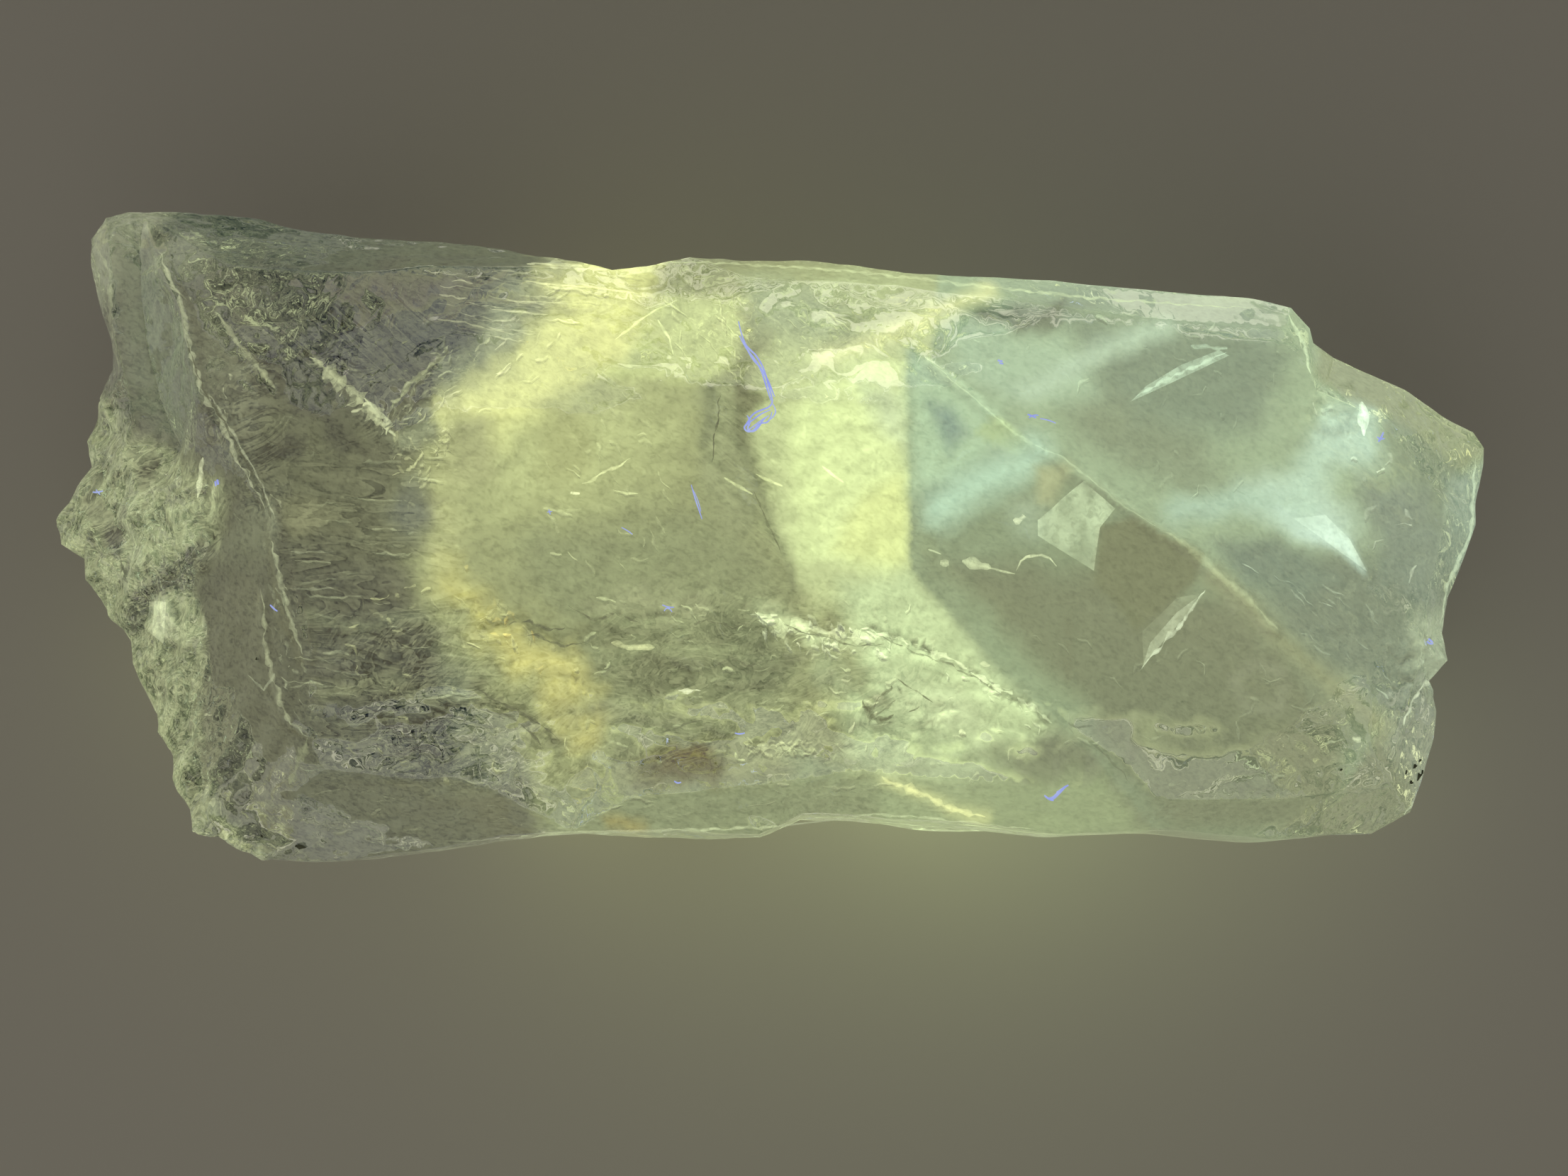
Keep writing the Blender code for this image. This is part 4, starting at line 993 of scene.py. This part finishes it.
def raggedLine(line, step, ragged, seed):
    # Points along a line at even steps, each nudged a little
    points = []
    for start, end in zip(line, line[1:]):
        start, end = Vector(start), Vector(end)
        count = max(1, round((end - start).length / step))
        for index in range(count):
            points.append(start.lerp(end, index / count))
    points.append(Vector(line[-1]))
    nudged = []
    for index, point in enumerate(points):
        nudge = noise.noise_vector(Vector((index * step * 4.0, seed * 3.7, 0.5)))
        nudged.append(point + Vector((nudge.x, nudge.y)) * cracksAndPaintedRims["nudge"] * ragged)
    return nudged


def addStrip(shape, layers, crystal, line, values, seed, step):
    # One strip of a crack, flake, painted highlight or painted shadow: three points wide, it follows the skin
    # and fades to its rims and ends
    tone, width, cover, ragged, depth = values
    toneLayer, coverLayer = layers
    points = raggedLine(line, step, ragged, seed)
    rows = []
    for index, point in enumerate(points):
        ahead = points[min(index + 1, len(points) - 1)] - points[max(index - 1, 0)]
        side = Vector((-ahead.y, ahead.x)).normalized()
        share = (index + 0.5) / len(points)
        half = width / 2 * (1.0 - abs(2 * share - 1) ** 3)
        swell = ragged * noise.noise(Vector((index * step * 5.0, seed * 5.1, 2.0))) * cracksAndPaintedRims["swell"]
        half *= max(cracksAndPaintedRims["narrowest"], 1.0 + swell)
        row = []
        for offset in (-1.0, 0.0, 1.0):
            spotHit = onCrystal(crystal, point + side * half * offset, depth)[0]
            if spotHit is None:
                break
            vertex = shape.verts.new(spotHit)
            vertex[toneLayer] = linear(tone)
            change = noise.noise(Vector((index * step * 3.0, seed * 1.3, offset * 2.0)))
            streak = 1.0 + cracksAndPaintedRims["streak"] * change
            fading = cracksAndPaintedRims["middleCover"] if offset == 0.0 else cracksAndPaintedRims["rimCover"]
            vertex[coverLayer] = min(1.0, streak * cover * fading)
            row.append(vertex)
        if len(row) == 3:
            rows.append(row)
    for one, two in zip(rows, rows[1:]):
        for index in (0, 1):
            shape.faces.new((one[index], one[index + 1], two[index + 1], two[index]))


def addFilm(shape, layers, crystal, corners, tone, cover, depth):
    # A thin film that follows the skin, divided so that its cover can vary
    toneLayer, coverLayer = layers
    rim = [shape.verts.new((corner[0], corner[1], 0.0)) for corner in corners]
    face = shape.faces.new(rim)
    made = bmesh.ops.triangulate(shape, faces=[face])["faces"]
    edges = list(dict.fromkeys(edge for part in made for edge in part.edges))
    bmesh.ops.subdivide_edges(shape, edges=edges, cuts=filmLook["cuts"], use_grid_fill=True)
    verts = [vertex for vertex in shape.verts if vertex[coverLayer] == 0.0]
    for vertex in verts:
        place = Vector((vertex.co.x, vertex.co.y))
        change = noise.noise(Vector((place.x * 2.2, place.y * 1.1, 4.0)))
        patchy = filmLook["patchMiddle"] + filmLook["patchChange"] * change
        vertex[toneLayer] = linear(tone)
        vertex[coverLayer] = max(filmLook["leastCover"], cover * patchy)
        vertex.co = onCrystal(crystal, place, depth)[0]


def addFlakes(shape, layers, crystal):
    look = flakeLook
    chance = random.Random(look["seed"])
    for count, tone, cover, lengths, width, turn, spread, bend, corners in innerFlakes:
        lowX, highX = min(x for x, y in corners), max(x for x, y in corners)
        lowY, highY = min(y for x, y in corners), max(y for x, y in corners)
        for index in range(count):
            place = Vector((chance.uniform(lowX, highX), chance.uniform(lowY, highY)))
            if not insideArea(np.array([place]), corners)[0]:
                continue
            length = chance.uniform(*lengths) * chance.uniform(*look["lengthShare"])
            angle = math.radians(turn + chance.uniform(-spread, spread))
            bow = length * bend * chance.uniform(-look["bow"], look["bow"])
            along = Vector((math.cos(angle), math.sin(angle))) * length
            side = Vector((-math.sin(angle), math.cos(angle))) * bow
            line = [place - along / 2, place + side, place + along / 2]
            brighter = chance.uniform(*look["toneShare"])
            shade = tuple(min(255, part * brighter) for part in tone)
            thick = width * chance.uniform(*look["widthShare"])
            strong = cover * chance.uniform(*look["coverShare"])
            step = max(look["shortestPiece"], length / look["pieces"])
            values = (shade, thick, strong, look["ragged"], look["depth"])
            addStrip(shape, layers, crystal, line, values, index + count, step)

            # the painted shadow of the same flake, a dark strip on the skin just in front of it
            below = Vector(look["shadowShift"]) - Vector((0.0, look["shadowBelow"] * thick))
            flakeShadowTone = tuple(part * look["shadowTone"] for part in tone)
            values = (flakeShadowTone, thick, look["shadowCover"] * strong, look["ragged"], cracksAndPaintedRims["darkDepth"])
            addStrip(shape, layers, crystal, [point + below for point in line], values, index + count, step)


def makeCrackMaterial(grainGroup):
    material, tree, shader = makeMaterial("cracksPaintedGlowAndShade", {
        "Base Color": opaque(cracksAndPaintedRims["baseColour"]),
        "Roughness": cracksAndPaintedRims["roughness"],
        "Emission Strength": cracksAndPaintedRims["strength"],
    })
    glint = addGrain(tree, grainGroup, addPosition(tree), **cracksAndPaintedRims["glint"])
    tone = addNode(tree, "ShaderNodeAttribute", attribute_name="tone").outputs["Vector"]
    cover = addNode(tree, "ShaderNodeAttribute", attribute_name="cover").outputs["Fac"]
    # each strip's tone is given as emitted light, a painted glow; the darker strips cover what lies under
    # them with less light
    tree.links.new(tone, shader.inputs["Emission Color"])
    patchy = addNode(tree, "ShaderNodeMapRange", {"Value": glint["Soft"], **cracksAndPaintedRims["patchy"]}).outputs[0]
    tree.links.new(addSum(tree, cover, patchy, operation="MULTIPLY"), shader.inputs["Alpha"])
    return material


def makeCracks(crystal, grainGroup):
    shape = bmesh.new()
    layers = (shape.verts.layers.float_vector.new("tone"), shape.verts.layers.float.new("cover"))
    rows = [(row[:5], row[5]) for row in cracksAndPaintedRims["lines"]]
    rows += [(row[:4] + (cracksAndPaintedRims["darkDepth"],), row[4]) for row in cracksAndPaintedRims["darkLines"]]
    for seed, (values, line) in enumerate(rows):
        addStrip(shape, layers, crystal, line, values, seed, cracksAndPaintedRims["step"])
    addFlakes(shape, layers, crystal)
    for tone, cover, depth, corners in innerFilms:
        addFilm(shape, layers, crystal, corners, tone, cover, depth)
    mesh = bpy.data.meshes.new("cracksAndPaintedRims")
    shape.to_mesh(mesh)
    shape.free()
    cracks = makeObject("cracksAndPaintedRims", mesh, makeCrackMaterial(grainGroup))
    mesh.shade_smooth()
    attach(cracks, "root")
    print("cracks made")


# Blue lint on the top, its colour given as painted glow: how thick it is, and where each fibre runs
lint = {
    "tones": ((112, 122, 224), (182, 196, 222)),
    "toneScale": 2.2,
    "baseColour": (120, 120, 150),
    "roughness": 0.9,
    "strength": 1.0,
    "lift": 0.4,          # how far a fibre lies off the skin, in its own thicknesses
    "endShare": 0.55,
    "fibres": (
        (0.022, ((-0.83, 4.78), (-0.71, 4.23), (-0.5, 4.0), (-0.38, 3.9), (-0.18, 3.56), (-0.06, 3.11),
            (0.07, 2.65), (-0.05, 2.52), (-0.14, 2.48), (-0.46, 2.36), (-0.6, 2.1), (-0.7, 1.98),
            (-0.58, 1.86), (-0.42, 1.92), (-0.3, 2.11), (-0.01, 2.11), (0.03, 2.4))),
        (0.022, ((-0.8, 4.4), (-0.66, 4.1), (-0.42, 3.8), (-0.24, 3.5), (-0.12, 3.1), (0.0, 2.7))),
        (0.022, ((-0.62, 4.05), (-0.45, 3.75), (-0.3, 3.62), (-0.1, 3.3), (0.02, 3.0), (0.1, 2.8))),
        (0.024, ((-0.6, 2.3), (-0.5, 2.15), (-0.62, 1.95), (-0.45, 1.86), (-0.3, 2.0), (-0.2, 2.2),
            (-0.05, 2.3))),
        (0.020, ((-0.66, 2.02), (-0.45, 2.2), (-0.2, 2.38), (0.0, 2.45))),
        (0.020, ((-0.6, 1.9), (-0.4, 2.05), (-0.15, 2.25))),
        (0.018, ((0.06, 2.6), (0.14, 2.45), (0.1, 2.3), (0.0, 2.2))),
        (0.045, ((6.99, -7.55), (7.1, -7.55), (7.19, -7.47), (7.3, -7.36), (7.43, -7.25))),
        (0.035, ((6.9, -7.48), (7.0, -7.58), (7.12, -7.6))),
        (0.030, ((7.2, -7.4), (7.36, -7.3), (7.5, -7.22))),
        (0.045, ((5.83, 3.75), (5.95, 3.72))),
        (0.035, ((5.87, 3.68), (5.97, 3.66))),
        (0.030, ((6.58, 2.33), (6.68, 2.3), (6.8, 2.24))),
        (0.024, ((6.62, 2.24), (6.74, 2.34), (6.86, 2.3))),
        (0.020, ((6.9, 2.22), (7.1, 2.2), (7.3, 2.1))),
        (0.035, ((15.55, 1.62), (15.63, 1.72), (15.68, 1.86))),
        (0.028, ((15.52, 1.74), (15.6, 1.66), (15.7, 1.7))),
        (0.045, ((16.68, -3.5), (16.76, -3.58))),
        (0.030, ((16.64, -3.56), (16.7, -3.64), (16.78, -3.62))),
        (0.050, ((-14.12, 0.62), (-14.1, 0.5))),
        (0.035, ((-14.18, 0.58), (-14.16, 0.46))),
        (0.030, ((-17.3, 0.3), (-17.19, 0.28), (-17.05, 0.33))),
        (0.024, ((-17.22, 0.36), (-17.12, 0.24))),
        (0.028, ((-12.7, -2.62), (-12.63, -2.7), (-12.52, -2.78))),
        (0.022, ((-2.75, -2.62), (-2.6, -2.7), (-2.45, -2.68))),
        (0.020, ((-2.7, -2.78), (-2.62, -2.62), (-2.5, -2.8))),
        (0.026, ((-0.9, -5.9), (-0.77, -5.95), (-0.65, -5.9))),
        (0.026, ((-2.42, -7.12), (-2.35, -7.2), (-2.25, -7.15))),
        (0.022, ((-5.66, -0.15), (-5.62, -0.28))),
        (0.020, ((-5.7, -0.22), (-5.58, -0.2))),
        (0.018, ((-3.8, -0.62), (-3.64, -0.7), (-3.52, -0.8))),
        (0.018, ((-2.03, 0.49), (-1.95, 0.2), (-1.85, -0.1), (-1.75, -0.4))),
        (0.014, ((-1.98, 0.35), (-1.84, 0.1), (-1.78, -0.2))),
    ),
}


def makeLint(crystal):
    curve = bpy.data.curves.new("lint", "CURVE")
    curve.dimensions = "3D"
    curve.bevel_depth = 1.0 * mm
    curve.bevel_resolution = 2
    curve.use_fill_caps = True
    top = cadBox[1][2] / mm
    for thickness, line in lint["fibres"]:
        spline = curve.splines.new("NURBS")
        spline.points.add(len(line) - 1)
        spline.order_u = 3
        spline.use_endpoint_u = True
        for index, place in enumerate(line):
            spotHit, normal = onCrystal(crystal, place)
            spotHit = spotHit + normal * thickness * lint["lift"] * mm
            spotHit.z = min(spotHit.z, (top - thickness) * mm)
            spline.points[index].co = (*spotHit, 1.0)
            ends = index in (0, len(line) - 1)
            spline.points[index].radius = thickness * (lint["endShare"] if ends else 1.0)

    material, tree, shader = makeMaterial("blueLint", {
        "Base Color": opaque(lint["baseColour"]),
        "Roughness": lint["roughness"],
        "Emission Strength": lint["strength"],
    })
    tree.links.new(addMottle(tree, lint["tones"], lint["toneScale"]), shader.inputs["Emission Color"])
    fibres = makeObject("lint", curve, material)
    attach(fibres, "root")
    print("lint made")


# Dark specks of dirt: place, size and turn
dirt = {
    "tones": ((84, 86, 68), (132, 136, 108)),
    "toneScale": 6.0,
    "roughness": 0.9,
    "sunk": 0.02,
    "lumps": 0.6,
    "widthShare": 0.62,
    "heightShare": 0.22,
    "specks": (
        ((16.3, -7.0), 0.13, 60), ((16.2, -6.75), 0.10, 20), ((16.4, -6.9), 0.08, 80),
        ((16.1, -7.15), 0.08, 0), ((16.0, -6.9), 0.07, 45), ((16.35, -6.6), 0.06, 10),
        ((14.35, -6.82), 0.07, 0), ((14.2, -6.7), 0.05, 40), ((13.9, -6.75), 0.04, 0),
        ((5.12, 3.0), 0.07, 0), ((-11.78, -8.75), 0.15, 0), ((-12.75, -8.5), 0.07, 30),
        ((-12.9, -6.6), 0.05, 0), ((13.0, -6.6), 0.04, 0), ((-13.0, -4.0), 0.06, 0), ((10.4, -5.1), 0.04, 0),
    ),
}


def makeDirt(crystal):
    shape = bmesh.new()
    for seed, (place, size, turn) in enumerate(dirt["specks"]):
        spotHit = onCrystal(crystal, place, dirt["sunk"])[0]
        made = bmesh.ops.create_icosphere(shape, subdivisions=2, radius=1.0)["verts"]
        angle = math.radians(turn)
        for vertex in made:
            lump = 1.0 + dirt["lumps"] * noise.noise(vertex.co * 1.7 + Vector((seed * 2.3, 0, 0)))
            flat = vertex.co * lump
            long, wide = flat.x * size, flat.y * size * dirt["widthShare"]
            vertex.co = spotHit + Vector((long * math.cos(angle) - wide * math.sin(angle),
                                          long * math.sin(angle) + wide * math.cos(angle),
                                          flat.z * size * dirt["heightShare"])) * mm
    mesh = bpy.data.meshes.new("dirtSpecks")
    shape.to_mesh(mesh)
    shape.free()
    material, tree, shader = makeMaterial("darkDirt", {"Roughness": dirt["roughness"]})
    tree.links.new(addMottle(tree, dirt["tones"], dirt["toneScale"]), shader.inputs["Base Color"])
    specks = makeObject("dirtSpecks", mesh, material)
    mesh.shade_smooth()
    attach(specks, "root")
    print("dirt made")


def makeStage():
    half = stage["floorSize"] * mm / 2
    mesh = bpy.data.meshes.new("floor")
    corners = [(-half, -half, 0.0), (half, -half, 0.0), (half, half, 0.0), (-half, half, 0.0)]
    mesh.from_pydata(corners, [], [(0, 1, 2, 3)])
    floorLook = {"Base Color": opaque(stage["floorColour"]), "Roughness": stage["floorRoughness"]}
    floor = makeObject("floor", mesh, makeMaterial("floorSheet", floorLook)[0])
    floor.location.z = -stage["floorGap"] * mm

    lampData = bpy.data.lights.new("softLamp", "AREA")
    lampData.shape = "DISK"
    lampData.size = stage["lampSize"] * mm
    lampData.energy = stage["lampPower"]
    lampData.color = linear(stage["lampColour"])
    lamp = bpy.data.objects.new("softLamp", lampData)
    bpy.context.scene.collection.objects.link(lamp)
    lamp.location = Vector(stage["lampPlace"]) * mm
    lamp.rotation_mode = "QUATERNION"
    lamp.rotation_quaternion = (-lamp.location).to_track_quat("-Z", "Y")

    world = bpy.data.worlds.new("softSky")
    bpy.context.scene.world = world
    world.use_nodes = True
    world.cycles.sampling_method = "NONE"
    tree = world.node_tree
    coordinates = addNode(tree, "ShaderNodeTexCoord")
    height = addNode(tree, "ShaderNodeSeparateXYZ", {0: coordinates.outputs["Generated"]})
    ramp = addNode(tree, "ShaderNodeValToRGB", {"Fac": height.outputs["Z"]})
    ramp.color_ramp.elements[0].color = opaque(stage["skyEdge"])
    ramp.color_ramp.elements[1].color = opaque(stage["skyTop"])
    tree.links.new(ramp.outputs["Color"], tree.nodes["Background"].inputs["Color"])
    print("stage made")


def makeCamera():
    cameraData = bpy.data.cameras.new("camera")
    cameraData.lens = view["lens"]
    cameraData.sensor_width = view["sensor"]
    cameraData.clip_start = view["clipStart"]
    camera = bpy.data.objects.new("camera", cameraData)
    bpy.context.scene.collection.objects.link(camera)
    camera.location = inFrame(eye)
    camera.rotation_mode = "QUATERNION"
    camera.rotation_quaternion = (-sightBack).to_track_quat("-Z", "Y")
    bpy.context.scene.camera = camera


lightBounces = {"max_bounces": 6, "transmission_bounces": 6, "glossy_bounces": 4, "diffuse_bounces": 3}
bpy.context.scene.view_settings.view_transform = "Standard"
for name, count in lightBounces.items():
    setattr(bpy.context.scene.cycles, name, count)
makeCamera()
makeStage()
grainGroup = makeGrainGroup()
crystal = makeCrystal(grainGroup)
makeCracks(crystal, grainGroup)
makeLint(crystal)
makeDirt(crystal)
